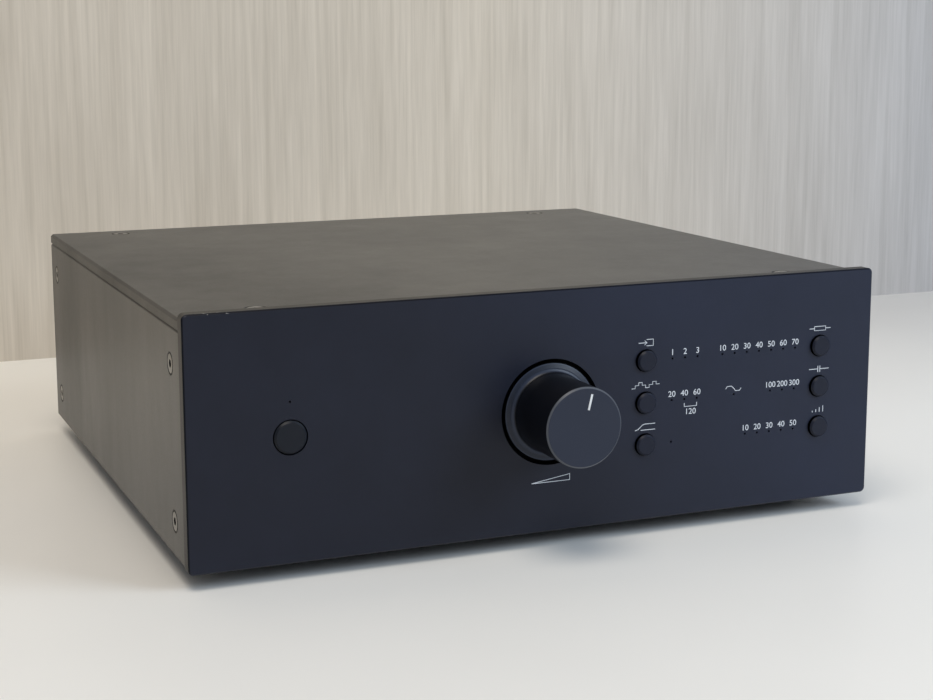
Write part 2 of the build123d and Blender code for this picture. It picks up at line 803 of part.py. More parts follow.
def ground_post():
    """Threaded post of the earth terminal with its shoulder against the rear panel."""
    shoulder_end = rear_outer + shoulder_thickness
    start, end = rear_inner - ground_root, rear_outer + ground_reach
    shank = bar(ground_x, ground_z, start, end, ground_radius, small_sides)
    return shank + bar(ground_x, ground_z, rear_outer, shoulder_end, shoulder_radius, round_sides)


def ground_lock_nut():
    """Hexagon nut that holds the earth post inside the case."""
    start = rear_inner - ground_nut_thickness
    nut = hole(ground_x, ground_z, start, rear_inner, ground_nut_flats / 2)
    return nut - hole(ground_x, ground_z, start, rear_inner, ground_radius + terminal_running, small_sides)


def ground_washer():
    """Washer under the thumb nut of the earth terminal."""
    end = washer_start + washer_thickness
    washer = bar(ground_x, ground_z, washer_start, end, shoulder_radius, round_sides)
    return washer - hole(ground_x, ground_z, washer_start, end, ground_radius + terminal_running, small_sides)


def ground_nut():
    """Thumb nut of the earth terminal, with a many-sided grip."""
    end = thumb_start + thumb_length
    nut = bar(ground_x, ground_z, thumb_start, end, thumb_radius, head_sides)
    return nut - bar(ground_x, ground_z, thumb_start, end, ground_radius + terminal_running)


# ---------------------------------------------------------------- components on the boards
def on_board(x, y, size):
    """Block that stands on the main board with its middle at (x, y)."""
    width, depth, height = size
    return block(about(x, width), about(y, depth), (board_top, board_top + height))


def signal_relays():
    """Relays that switch the inputs and their loads."""
    rows_y = [case_rear - inset for inset in relay_insets]
    return group(on_board(x, y, relay_size) for y in rows_y for x in relay_columns)


def film_capacitors():
    """Film capacitors of the equalising filter."""
    rows_y = [case_rear - inset for inset in film_insets]
    return group(on_board(x, y, film_size) for y in rows_y for x in film_columns)


def electrolytic_capacitors():
    """Supply capacitors in round cans."""
    can = post(0, 0, board_top, board_top + can_height, can_radius, head_sides)
    return group(Pos(x, front + depth, 0) * can for depth in can_depths for x in can_columns)


def circuit_chips():
    """Amplifier chips, the converter and the data interface."""
    chips = [on_board(x, front + depth, chip_size) for depth in chip_depths for x in chip_columns]
    return group(chips + [on_board(x, case_rear - inset, converter_size) for x, inset in converter_spots])


def heat_sink():
    """Finned bar that cools the regulators."""
    width, depth, height = sink_size
    pitch = width / sink_fins
    back = sink_y + depth / 2
    slot_height = (board_top - spare, board_top + height + spare)
    middles = [sink_x - width / 2 + step * pitch for step in range(1, sink_fins)]
    slots = [block(about(x, pitch / 2), (back - fin_depth, back + spare), slot_height) for x in middles]
    return on_board(sink_x, sink_y, sink_size) - slots


def voltage_regulators():
    """Regulators that stand against the flat side of the heat sink."""
    width, depth, height = regulator_size
    leg_width, leg_depth = regulator_leg
    back = sink_y - sink_size[1] / 2
    low = board_top + regulator_rise
    body = block(about(0, width), (back - depth, back), (low, low + height))
    body += block(about(0, leg_width), about(back - depth / 2, leg_depth), (board_top, low))
    return group(Pos(x, 0, 0) * body for x in regulator_columns)


def ribbon_connectors():
    """Sockets of the flat cable, one on each board."""
    width, depth, height = connector_size
    reach = (front_board_back, front_board_back + height)
    on_front = block(about(ribbon_x, width), reach, about(ribbon_level, depth))
    return group([on_front, on_board(ribbon_x, ribbon_rear, connector_size)])


def ribbon_cable():
    """Flat cable between the two boards, one bend from level to upright."""
    start = front_board_back + connector_size[2]
    end = board_top + connector_size[2]
    path = FilletPolyline(
        (ribbon_x, start, ribbon_level),
        (ribbon_x, ribbon_rear, ribbon_level),
        (ribbon_x, ribbon_rear, end),
        radius=ribbon_bend,
    )
    plane = Plane((ribbon_x, start, ribbon_level), x_dir=(1, 0, 0), z_dir=(0, 1, 0))
    return sweep(plane * Rectangle(ribbon_width, ribbon_thickness), path)


# ---------------------------------------------------------------- one file for each node
m3 = countersunk_screw()
left_spots = [Pos(-half_width, y, z) * face_left * m3 for y, z in side_screws]
right_spots = [Pos(half_width, y, z) * face_right * m3 for y, z in side_screws]
frame_back = panel_back + sheet
panel_screw = small_screw(sheet + panel_screw_depth - spare)

nodes = {
    "front_panel": front_panel(),
    "front_frame": front_frame(),
    "rear_frame": rear_frame(),
    "rear_panel": rear_panel(),
    "top_cover": top_cover(),
    "left_side_panel": side_panel(-1),
    "right_side_panel": side_panel(1),
    "bottom_plate": bottom_plate(),
    "cover_screws": screws_at(upright, [(x, y, cover_top) for x, y in cover_screws], m3),
    "bottom_screws": screws_at(face_down, [(x, y, base_under) for x, y in cover_screws], m3),
    "side_screws": group(left_spots + right_spots),
    "rear_panel_screws": screws_at(face_rear, [(x, rear_outer, z) for x, z in rear_screws], m3),
    "panel_screws": screws_at(face_rear, [(x, frame_back, z) for x, z in panel_screws], panel_screw),
    "feet": feet(),
    "level_knob": level_knob(),
    "knob_set_screw": knob_set_screw(),
    "pot_shaft": pot_shaft(),
    "pot_body": pot_body(),
    "pot_nut": pot_nut(),
    "power_button": key(power_x, panel_middle, power_radius, power_reach),
    "button_switches": button_switches(),
    "indicator_leds": indicator_leds(),
    "light_pipes": light_pipes(),
    "front_board": front_board(),
    "panel_standoffs": panel_standoffs(),
    "main_board": main_board(),
    "board_pillars": board_pillars(),
    "board_screws": board_screws(),
    "signal_relays": signal_relays(),
    "film_capacitors": film_capacitors(),
    "electrolytic_capacitors": electrolytic_capacitors(),
    "circuit_chips": circuit_chips(),
    "heat_sink": heat_sink(),
    "voltage_regulators": voltage_regulators(),
    "ribbon_connectors": ribbon_connectors(),
    "ribbon_cable": ribbon_cable(),
    "jack_blocks": jack_blocks(),
    "jack_sleeves": at_jacks(jacks, jack_sleeve()),
    "jack_insulators_white": at_jacks(left_jacks, jack_insulator()),
    "jack_insulators_red": at_jacks(right_jacks, jack_insulator()),
    "jack_contacts": at_jacks(jacks, jack_contact()),
    "jack_block_screws": screws_at(
        face_rear, [(x, rear_outer, jack_middle) for x in jack_columns], small_screw(screw_length)
    ),
    "usb_shell": usb_shell(),
    "usb_core": usb_core(),
    "optical_socket": optical_socket(),
    "optical_flap": optical_flap(),
    "dc_inlet": dc_inlet(),
    "dc_pin": dc_pin(),
    "ground_post": ground_post(),
    "ground_lock_nut": ground_lock_nut(),
    "ground_washer": ground_washer(),
    "ground_nut": ground_nut(),
}
for name, (x, z) in keys.items():
    nodes[name] = key(x, z, key_radius, key_reach)

os.makedirs("parts", exist_ok=True)
for name, shape in nodes.items():
    export_step(shape, f"parts/{name}.step")
print(len(nodes), "nodes")
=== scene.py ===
# %% [markdown]
# # A phono preamp in black anodised aluminium
# The real object is a low metal case with a thick front plate, a turned level knob, seven push keys and
# three rows of pinhole lamps. Its rigid pieces come finished in shape from the CAD model, so this lesson
# is about their finishes, the printing on the front, and the small turned and threaded pieces that a
# renderer shows better than CAD facets do.

# %% Load the CAD model as a fixed frame
import json
from itertools import product
from math import cos, degrees, pi, radians, sin

import bmesh
import bpy
from mathutils import Matrix, Vector


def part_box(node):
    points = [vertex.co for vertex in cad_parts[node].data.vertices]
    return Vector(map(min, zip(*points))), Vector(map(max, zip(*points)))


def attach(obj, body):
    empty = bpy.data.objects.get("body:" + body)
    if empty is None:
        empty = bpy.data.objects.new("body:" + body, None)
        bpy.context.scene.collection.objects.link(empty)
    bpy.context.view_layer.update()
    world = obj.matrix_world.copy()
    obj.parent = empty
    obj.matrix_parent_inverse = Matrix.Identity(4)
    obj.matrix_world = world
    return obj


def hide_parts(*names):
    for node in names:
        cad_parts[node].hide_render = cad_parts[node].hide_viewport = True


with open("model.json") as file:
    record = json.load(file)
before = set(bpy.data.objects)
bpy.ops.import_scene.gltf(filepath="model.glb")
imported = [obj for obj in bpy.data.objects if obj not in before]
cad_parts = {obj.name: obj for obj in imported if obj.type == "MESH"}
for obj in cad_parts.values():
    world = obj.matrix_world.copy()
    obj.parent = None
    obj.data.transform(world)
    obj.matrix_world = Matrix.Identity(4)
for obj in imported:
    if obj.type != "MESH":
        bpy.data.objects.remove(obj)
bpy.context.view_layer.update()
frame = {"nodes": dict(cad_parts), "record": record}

# %% [markdown]
# Every size here is in millimetres, because that is how such a case is drawn. Blender and the frame work
# in metres, so one factor turns the first into the second. Places are read from the CAD nodes' boxes
# where a node has them, and the printing has its own few sizes.

# %% Units and places read from the frame
mm = 0.001
panel_low, panel_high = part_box("front_panel")
front_y = panel_low[1]


def middle(node):
    """Centre of a CAD node's box at rest."""
    low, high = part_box(node)
    return (Vector(low) + Vector(high)) / 2


keys = ["input_button", "rate_button", "filter_button"]
keys += ["resistance_button", "capacitance_button", "gain_button"]
lamp_x = (middle("input_button").x + middle("resistance_button").x) / 2
lamp_pitch = 4.04 * mm
row_z = {1: middle("input_button").z, 0: middle("rate_button").z, -1: middle("filter_button").z}
knob_x = middle("pot_nut").x
knob_z = middle("pot_nut").z
print("front face at", round(front_y / mm, 2), "mm, lamps about", round(lamp_x / mm, 2), "mm")

# %% [markdown]
# A finish is a small node tree. Written as plain sums, a mask such as `1 - grain * 0.3` is easier to read
# than a chain of Math nodes, so one class wraps a socket and turns sums on it into those nodes. Its
# reflected forms, such as `__rsub__`, take the sums that start with a plain number.

# %% Sums on shader sockets
class Channel:
    """One output of a shader node. Sums on it add Math nodes."""

    def __init__(self, finish, socket):
        self.finish = finish
        self.socket = socket

    def math(self, operation, first, second):
        return self.finish.node("Math", {"operation": operation}, {0: first, 1: second})

    def __add__(self, other):
        return self.math("ADD", self, other)

    def __radd__(self, other):
        return self.math("ADD", other, self)

    def __sub__(self, other):
        return self.math("SUBTRACT", self, other)

    def __rsub__(self, other):
        return self.math("SUBTRACT", other, self)

    def __mul__(self, other):
        return self.math("MULTIPLY", self, other)

    def __rmul__(self, other):
        return self.math("MULTIPLY", other, self)


print("sums on sockets: +, - and *")

# %% [markdown]
# A second class holds the material. One method, `node`, adds any node: its settings come first, because
# some of them change which sockets there are. The shorter methods below it are built on that one and give
# the noise, the masks and the relief that the finishes here are made of. All places are the piece's own
# Object coordinates, so a pattern stays on its piece when that moves.

# %% A finish and one way to add any node
class Finish:
    """A material whose shader sockets take numbers, colours or channels."""

    def __init__(self, name, **sockets):
        self.material = bpy.data.materials.new(name)
        self.material.use_nodes = True
        self.nodes = self.material.node_tree.nodes
        self.links = self.material.node_tree.links
        self.shader = self.nodes["Principled BSDF"]
        self.place = self.node("TexCoord", output="Object")
        self.set(**sockets)

    def node(self, kind, settings=None, inputs=None, output=0):
        """A node of that kind: its settings first, then the values or links of its sockets."""
        step = self.nodes.new("ShaderNode" + kind)
        for name, value in (settings or {}).items():
            setattr(step, name, value)
        for name, value in (inputs or {}).items():
            self.feed(step.inputs[name], value)
        return Channel(self, step.outputs[output])

    def feed(self, socket, value):
        """Links a channel to a socket, or sets the socket's own value."""
        if isinstance(value, Channel):
            self.links.new(value.socket, socket)
        elif socket.type == "RGBA":
            socket.default_value = (*value, 1)
        else:
            socket.default_value = value

    def set(self, **sockets):
        """Feeds the shader: base_color=... goes to its socket Base Color."""
        for name, value in sockets.items():
            title = name.replace("_", " ").title().replace("Ior", "IOR")
            self.feed(self.shader.inputs[title], value)

    def noise(self, scale, detail=2.0, roughness=0.5, stretch=(1, 1, 1)):
        """Soft noise with that many waves in a metre, stretched along the axes."""
        place = self.node("Mapping", None, {"Vector": self.place, "Scale": stretch})
        waves = {"Vector": place, "Scale": scale, "Detail": detail, "Roughness": roughness}
        return self.node("TexNoise", None, waves)

    def along(self, axis):
        """The place along one axis, in metres."""
        return self.node("SeparateXYZ", None, {"Vector": self.place}, output=axis)

    def from_knob_axis(self):
        """The distance from the knob's axis, in metres."""
        off_axis = {"Vector": self.place, "Location": (-knob_x, 0, -knob_z), "Scale": (1, 0, 1)}
        centred = self.node("Mapping", None, off_axis)
        return self.node("VectorMath", {"operation": "LENGTH"}, {0: centred}, output="Value")

    def between(self, mask, first, second):
        """A colour that goes from the first to the second with the mask."""
        colours = {"Factor": mask, "A": first, "B": second}
        return self.node("Mix", {"data_type": "RGBA"}, colours, output="Result")

    def clamp(self, value, low, high):
        """The channel between two limits, as 0 to 1."""
        return self.node("MapRange", None, {"Value": value, "From Min": low, "From Max": high})

    def band(self, value, low, high, fade):
        """1 between two limits and 0 outside them, with soft ends of that width."""
        return self.clamp(value, low, low + fade) * (1.0 - self.clamp(value, high - fade, high))

    def bump(self, height, depth):
        """Surface relief: the height runs from 0 to 1 over that depth in metres."""
        relief = {"Height": height, "Distance": depth, "Strength": 1.0}
        self.set(normal=self.node("Bump", None, relief, output="Normal"))

    def clear_behind(self):
        """The surface is clear where its back is seen."""
        seen_behind = self.node("NewGeometry", output="Backfacing")
        front = Channel(self, self.shader.outputs["BSDF"])
        sides = {0: seen_behind, 1: front, 2: self.node("BsdfTransparent")}
        self.feed(self.nodes["Material Output"].inputs["Surface"], self.node("MixShader", None, sides))


print("finishes read each piece's own coordinates, in metres")

# %% [markdown]
# The camera comes first, because every later choice is judged through it. A camera looks down its own -Z
# axis, so its turn is built from three directions: back towards the eye, right and up. The lens is a
# short telephoto one, and a small shift frames the case without tilting its upright edges.

# %% Camera
view_from = radians(-22.26)
view_down = radians(9.51)
view_roll = radians(-0.21)
back = Vector((sin(view_from) * cos(view_down), -cos(view_from) * cos(view_down), sin(view_down)))
level = Vector((0, 0, 1)).cross(back).normalized()
above = back.cross(level)
right = level * cos(view_roll) + above * sin(view_roll)
up = back.cross(right)
camera_data = bpy.data.cameras.new("camera")
camera_data.lens = 66.35
camera_data.shift_x = 0.0159
camera_data.shift_y = -0.0444
camera_data.clip_start = 0.01
camera = bpy.data.objects.new("camera", camera_data)
eye = Vector((-200.1, -507.4, 143.9)) * mm
camera.matrix_world = Matrix.Translation(eye) @ Matrix((right, up, back)).transposed().to_4x4()
bpy.context.collection.objects.link(camera)
bpy.context.scene.camera = camera
bpy.context.scene.view_settings.view_transform = "Standard"
print("camera", round((eye - middle("front_panel")).length, 3), "m from the panel")

# %% [markdown]
# The stage is a pale table and a papered wall close behind the case. The satin cover is seen at a low
# angle, so what it mirrors is mostly this wall: its distance matters as much as the lamps do. The room
# lights both unevenly, and their colours carry that as painted light and shade, shifting slowly from left
# to right and towards the wall.

# %% Finishes of the table and the wall
table_finish = Finish("table_lacquer", specular_ior_level=0.5)
haze = table_finish.noise(9, detail=3)
lacquer = table_finish.between(haze, (0.78, 0.772, 0.752), (0.82, 0.812, 0.792))
# Painted light and shade: near the wall the table is painted warmer and lighter at the left and darker at
# the right.
lacquer_in_painted_warm_light = table_finish.between(haze, (0.90, 0.865, 0.795), (0.94, 0.905, 0.835))
lacquer_in_painted_shade = table_finish.between(haze, (0.60, 0.588, 0.572), (0.64, 0.628, 0.612))
rightwards = table_finish.clamp(table_finish.along("X"), -0.15, 0.30)
near_wall = table_finish.clamp(table_finish.along("Y"), 0, 0.20)
far_painted_light_and_shade = table_finish.between(rightwards, lacquer_in_painted_warm_light, lacquer_in_painted_shade)
table_finish.set(base_color=table_finish.between(near_wall, lacquer, far_painted_light_and_shade))
table_finish.set(roughness=0.36 + haze * 0.08)
wall_finish = Finish("wall_paper", specular_ior_level=0.2, roughness=0.8)
threads = wall_finish.noise(420, detail=3, roughness=0.7, stretch=(1, 1, 0.03))
patches = wall_finish.noise(60, detail=2, stretch=(1, 1, 0.12))
weave = wall_finish.clamp(threads * 0.7 + patches * 0.3, 0.3, 0.7)
warm_paper = wall_finish.between(weave, (0.535, 0.470, 0.388), (0.705, 0.628, 0.530))
# Painted light: towards the right the paper is painted cool blue for the window's light.
paper_in_painted_window_light = wall_finish.between(weave, (0.315, 0.322, 0.352), (0.405, 0.414, 0.456))
to_the_right = wall_finish.clamp(wall_finish.along("X"), 0.12, 0.50)
wall_finish.set(base_color=wall_finish.between(to_the_right, warm_paper, paper_in_painted_window_light))
table_finish.clear_behind()
wall_finish.clear_behind()
print("table and wall finishes, both clear on their backs")

# %% [markdown]
# Table and wall are single faces. They are clear on their backs, so that the case can be seen from behind
# and from below, and the table runs on below the wall.

# %% Table and wall
def flat_stage(name, corners, finish):
    """A single face of the stage between four corners."""
    shape = bmesh.new()
    shape.faces.new([shape.verts.new(corner) for corner in corners])
    mesh = bpy.data.meshes.new(name)
    shape.to_mesh(mesh)
    shape.free()
    mesh.materials.append(finish.material)
    face = bpy.data.objects.new(name, mesh)
    bpy.context.collection.objects.link(face)


wall_y = 0.237
reach = 3.0
table_corners = [(-reach, -reach, 0), (reach, -reach, 0), (reach, reach, 0), (-reach, reach, 0)]
wall_corners = [(-reach, wall_y, 0), (reach, wall_y, 0), (reach, wall_y, reach), (-reach, wall_y, reach)]
flat_stage("table", table_corners, table_finish)
flat_stage("wall", wall_corners, wall_finish)

# %% [markdown]
# Two large lamps give soft light: a cool window from the front right and a warm ceiling. Large lamps
# make the shadow of each key a thin crescent instead of a hard edge. An area lamp shines along its own
# -Z, so `to_track_quat` turns that axis to the case.

# %% Lamps and the room's own light
def soft_lamp(name, place, size, power, colour):
    """A square area lamp that points at the case."""
    lamp = bpy.data.lights.new(name, "AREA")
    lamp.size = size
    lamp.energy = power
    lamp.color = colour
    holder = bpy.data.objects.new(name, lamp)
    holder.location = place
    holder.rotation_euler = Vector(place).to_track_quat("Z", "Y").to_euler()
    bpy.context.collection.objects.link(holder)


soft_lamp("window", place=(0.75, -0.70, 0.54), size=0.55, power=7.6, colour=(0.76, 0.88, 1.0))
soft_lamp("ceiling", place=(-0.3, -0.45, 1.45), size=0.8, power=12.2, colour=(1.0, 0.92, 0.81))
world = bpy.data.worlds.new("room")
world.use_nodes = True
room = world.node_tree.nodes["Background"]
room.inputs["Color"].default_value = (0.78, 0.87, 1.0, 1)
room.inputs["Strength"].default_value = 0.34
bpy.context.scene.world = world
print("two lamps and an even room light")

# %% [markdown]
# Anodised aluminium is a thin glassy layer with dye in it, on metal that was blasted with beads. So the
# finish is a dark dielectric, not bare metal. It has three parts: slow clouds in the dye, grains a few
# tenths of a millimetre wide that show in dye, gloss and relief, and a roughness that follows both. The
# finish keeps its mask of dye, so that a later cell can lay more zones on it.

# %% An anodised finish
def anodised(name, dark, light, roughness, stretch=(1, 1, 1), gloss=0.5):
    """Dyed, bead blasted aluminium, with more of the light dye where its mask is high."""
    finish = Finish(name, specular_ior_level=gloss)
    grain = finish.noise(3200, detail=4, roughness=0.8)
    cloud = finish.clamp(finish.noise(26, detail=7, roughness=0.74, stretch=stretch), 0.32, 0.68)
    finish.dye = finish.clamp(cloud * 0.6 + finish.clamp(grain, 0.3, 0.7) * 0.4, 0, 1)
    finish.set(base_color=finish.between(finish.dye, dark, light))
    finish.set(roughness=roughness + (grain - 0.5) * 0.20 + (cloud - 0.5) * 0.09)
    finish.bump(grain, 0.016 * mm)
    return finish


print("anodised: a dark and a light dye, a roughness and a gloss")

# %% [markdown]
# The panel and the keys come from a bath of blue-black dye, the case from a warmer one. The case's clouds
# are drawn out upwards, as the plates hung in the bath. The walls of the small keys carry painted shade:
# they are black past their rounded edge, which shows as a dark ring round each key.

# %% Panel, case and keys
painted_shade_black = (0.001, 0.001, 0.0012)
panel_dark = (0.0078, 0.0094, 0.0176)
panel_light = (0.0124, 0.0148, 0.0272)
panel_finish = anodised("anodised_panel", panel_dark, panel_light, 0.40, gloss=0.25)
case_dark = (0.023, 0.0220, 0.0200)
case_light = (0.039, 0.0372, 0.0338)
upright_clouds = (1, 1, 0.25)
case_finish = anodised("anodised_case", case_dark, case_light, 0.38, upright_clouds, gloss=0.8)
power_dark = (0.0044, 0.0062, 0.0108)
power_light = (0.0066, 0.0088, 0.0156)
power_finish = anodised("anodised_power_key", power_dark, power_light, 0.42, gloss=0.25)
key_dark = (0.0050, 0.0070, 0.0160)
key_light = (0.0076, 0.0104, 0.0245)
key_finish = anodised("anodised_key", key_dark, key_light, 0.42, gloss=0.25)
key_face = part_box("input_button")[0][1]
# Painted shade: the keys' walls past the rounded edge are black, and Metallic follows that mask.
key_wall_shade = key_finish.clamp(key_finish.along("Y"), key_face + 0.5 * mm, key_face + 0.6 * mm)
key_dyed = key_finish.between(key_finish.dye, key_dark, key_light)
key_finish.set(base_color=key_finish.between(key_wall_shade, key_dyed, painted_shade_black), metallic=key_wall_shade)
print("four anodised finishes")

# %% [markdown]
# Edges lose their dye first. The top edge of the panel has a few bright nicks near its left end. Their
# mask is a product: close to the edge, near that end, and where a patchy noise is high. A painted
# reflection of the cool window makes the front bluer and lighter towards the upper right, and the
# panel's edges are as neutral as the case. Painted shade darkens the front's top and left chamfers and
# makes the wall of the knob's hole black. A metal with a black colour mirrors less than a black paint
# does, so `Metallic` follows that painted shade's mask.

# %% Nicks, dye, painted reflection and painted shade of the panel
panel_across = panel_finish.along("X")
panel_up = panel_finish.along("Z")
panel_depth = panel_finish.along("Y")
edge_from, edge_to = 0.42 * mm, 0.34 * mm
on_edge = panel_finish.clamp(panel_up, panel_high[2] - edge_from, panel_high[2] - edge_to)
on_left_edge = 1.0 - panel_finish.clamp(panel_across, panel_low[0] + edge_to, panel_low[0] + edge_from)
in_chamfer = 1.0 - panel_finish.clamp(panel_depth, front_y + 0.40 * mm, front_y + 0.46 * mm)
near_front = 1.0 - panel_finish.clamp(panel_depth, front_y + 0.7 * mm, front_y + 1.0 * mm)
near_end = 1.0 - panel_finish.clamp(panel_across, -94 * mm, -88 * mm)
patchy = panel_finish.clamp(panel_finish.noise(900, detail=3, roughness=0.7), 0.60, 0.64)
nicks = on_edge * near_front * near_end * patchy
# Painted reflection: a bluer, lighter colour towards the upper right of the front stands for the window.
upper_right_reflection = panel_finish.clamp(panel_across + panel_up, 25 * mm, 95 * mm)
hole_radius = 14.8 * mm
panel_off_axis = panel_finish.from_knob_axis()
in_hole = 1.0 - panel_finish.clamp(panel_off_axis, hole_radius + 0.01 * mm, hole_radius + 0.03 * mm)
# Painted shade: the hole's wall is black and the top and left chamfers of the front are darkened.
in_painted_shade = in_hole + in_chamfer * (on_edge + on_left_edge - on_edge * on_left_edge) * 0.55
painted_blue_reflection = panel_finish.between(panel_finish.dye, (0.0108, 0.0146, 0.0296), (0.0156, 0.0201, 0.0412))
panel_dye_and_painted_light = panel_finish.between(panel_finish.dye, panel_dark, panel_light)
panel_dye_and_painted_light = panel_finish.between(upper_right_reflection, panel_dye_and_painted_light, painted_blue_reflection)
edge_dye = panel_finish.between(panel_finish.dye, (0.0060, 0.0058, 0.0055), (0.0105, 0.0101, 0.0095))
panel_dye_and_painted_light = panel_finish.between(in_chamfer, edge_dye, panel_dye_and_painted_light)
panel_dye_and_painted_light = panel_finish.between(in_painted_shade, panel_dye_and_painted_light, painted_shade_black)
bare_metal = (0.34, 0.34, 0.34)
panel_finish.set(base_color=panel_finish.between(nicks, panel_dye_and_painted_light, bare_metal))
panel_finish.set(roughness=0.40 + (panel_finish.dye - 0.5) * 0.16, metallic=in_painted_shade)
print("wall of the knob's hole is black from", round(hole_radius / mm, 1), "mm off the axis inwards")

# %% [markdown]
# Painted shade darkens the case where its plates end: along the cover's edges, which face the dark gap,
# and deep in the screws' countersinks. One mask takes the band of heights that the cover's edges fill,
# the other takes what lies inside the side panels' faces. More painted shade darkens the cover's front
# left and the rear of the sides, where they mirror less light.

# %% Painted shade on the edges and countersinks of the case
cover_low, cover_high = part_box("top_cover")
case_up = case_finish.along("Z")
sideways = case_finish.node("Math", {"operation": "ABSOLUTE"}, {0: case_finish.along("X")})
# Painted shade on the cover's edges and in the countersinks, with Metallic following it.
cover_edges = case_finish.band(case_up, cover_low[2] - 0.1 * mm, cover_high[2] - 0.1 * mm, 0.05 * mm)
below_cover = 1.0 - case_finish.clamp(case_up, cover_low[2] - 0.15 * mm, cover_low[2] - 0.1 * mm)
side_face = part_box("right_side_panel")[1][0]
deep = 1.0 - case_finish.clamp(sideways, side_face - 0.2 * mm, side_face - 0.12 * mm)
case_along = case_finish.along("Y")
# Painted shade: darker at the cover's front left and at the rear of the sides.
front_left = case_finish.clamp(0.0 - case_finish.along("X") - case_along * 0.35, 20 * mm, 90 * mm)
to_the_rear = case_finish.clamp(case_along, 0, 50 * mm)
painted_shade_falloff = (1.0 - below_cover) * front_left + below_cover * to_the_rear
case_dye_and_shade = case_finish.between(case_finish.dye, case_dark, case_light)
case_dye_and_shade = case_finish.between(painted_shade_falloff, case_dye_and_shade, (0.003, 0.003, 0.003))
shaded = cover_edges * 0.75 + below_cover * deep
case_finish.set(base_color=case_finish.between(shaded, case_dye_and_shade, (0.030, 0.029, 0.028)), metallic=shaded)
print("cover edges from", round(cover_low[2] / mm, 2), "to", round(cover_high[2] / mm, 2), "mm")

# %% [markdown]
# The knob is turned on a lathe before it is dyed, so its grain runs in rings. One-dimensional noise on
# the distance from the axis plus the distance along it gives rings on the face and on the side with one
# node. Its colour carries painted light and shade: painted light makes the face and the skirt lighter and
# bluer than the grip, painted highlights lighten the narrow chamfer of the face, the fillet above the
# skirt and the skirt's rim, and painted shade makes it black past that rim. Masks on the same two
# distances say where, and each `between` lays one zone over the last.

# %% Turned knob
knob_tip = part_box("level_knob")[0][1]
knob_finish = Finish("anodised_knob", specular_ior_level=0.3)
knob_along = knob_finish.along("Y")
off_axis = knob_finish.from_knob_axis()
ring_place = {"W": off_axis + knob_along, "Scale": 2600, "Detail": 3, "Roughness": 0.7}
rings = knob_finish.node("TexNoise", {"noise_dimensions": "1D"}, ring_place)
knob_cloud = knob_finish.noise(60, detail=3)
# Painted highlights on the fillet, rim and face chamfer, painted light on skirt and face, painted shade
# past the rim.
fillet_highlight = knob_finish.clamp(off_axis, 11.15 * mm, 11.5 * mm)
skirt_light_mask = knob_finish.clamp(off_axis, 11.9 * mm, 12.4 * mm)
rim_highlight = knob_finish.clamp(off_axis, 13.22 * mm, 13.30 * mm)
past_rim_shade = knob_finish.clamp(off_axis, 13.52 * mm, 13.56 * mm)
tip_chamfer_highlight = 1.0 - knob_finish.clamp(knob_along, knob_tip + 0.44 * mm, knob_tip + 0.52 * mm)
face_light_mask = 1.0 - knob_finish.clamp(knob_along, knob_tip + 0.02 * mm, knob_tip + 0.10 * mm)
grip_dye = knob_finish.between(knob_cloud, (0.0024, 0.0030, 0.0052), (0.0036, 0.0044, 0.0074))
skirt_painted_light = knob_finish.between(knob_cloud, (0.0120, 0.0165, 0.0300), (0.0150, 0.0200, 0.0350))
face_painted_light = knob_finish.between(knob_cloud, (0.0165, 0.0215, 0.0385), (0.0200, 0.0260, 0.0460))
knob_dye_and_painted_light = knob_finish.between(fillet_highlight, grip_dye, (0.024, 0.032, 0.056))
knob_dye_and_painted_light = knob_finish.between(skirt_light_mask, knob_dye_and_painted_light, skirt_painted_light)
knob_dye_and_painted_light = knob_finish.between(rim_highlight, knob_dye_and_painted_light, (0.026, 0.034, 0.058))
knob_dye_and_painted_light = knob_finish.between(tip_chamfer_highlight, knob_dye_and_painted_light, (0.080, 0.088, 0.106))
knob_dye_and_painted_light = knob_finish.between(face_light_mask, knob_dye_and_painted_light, face_painted_light)
knob_finish.set(base_color=knob_finish.between(past_rim_shade, knob_dye_and_painted_light, painted_shade_black), metallic=past_rim_shade)
knob_finish.set(roughness=0.36 + (rings - 0.5) * 0.14)
knob_finish.bump(rings, 0.006 * mm)
print("knob face at", round(knob_tip / mm, 2), "mm")

# %% [markdown]
# Plated and turned metal is different: here the colour comes from the metal itself, so `Metallic` is 1
# and the roughness carries the look. Brush marks are noise stretched along one axis.

# %% Bare and plated metals
def plated(name, dark, light, roughness, stretch=(1, 1, 1), scale=900):
    """Plated metal with fine marks along the stretched axis."""
    finish = Finish(name, metallic=1.0)
    marks = finish.noise(scale, detail=4, roughness=0.7, stretch=stretch)
    stain = finish.noise(70, detail=3)
    finish.metal = finish.between(stain, dark, light)
    finish.set(base_color=finish.metal)
    finish.set(roughness=roughness + (marks - 0.5) * 0.2 + (stain - 0.5) * 0.1)
    finish.bump(marks, 0.01 * mm)
    return finish


zinc_look = {"dark": (0.46, 0.47, 0.49), "light": (0.60, 0.61, 0.63), "roughness": 0.34}
brushed_across = (0.1, 1, 1)
zinc = plated("zinc_steel", **zinc_look, stretch=brushed_across)
nickel = plated("nickel", (0.62, 0.60, 0.56), (0.72, 0.70, 0.66), 0.24)
gold = plated("gold", (0.72, 0.50, 0.19), (0.86, 0.64, 0.28), 0.22)
print("zinc, nickel and gold")

# %% [markdown]
# The front frame lies just behind the knob's hole, and bright zinc would glint through the gap round the
# knob. So the frame carries painted shade there: it is black as far out as the gap can be looked into.

# %% Front frame, with painted shade behind the knob
frame_finish = plated("zinc_frame", **zinc_look, stretch=brushed_across)
black_painted_shade = (0.002, 0.002, 0.002)
black_to = hole_radius + 2 * mm
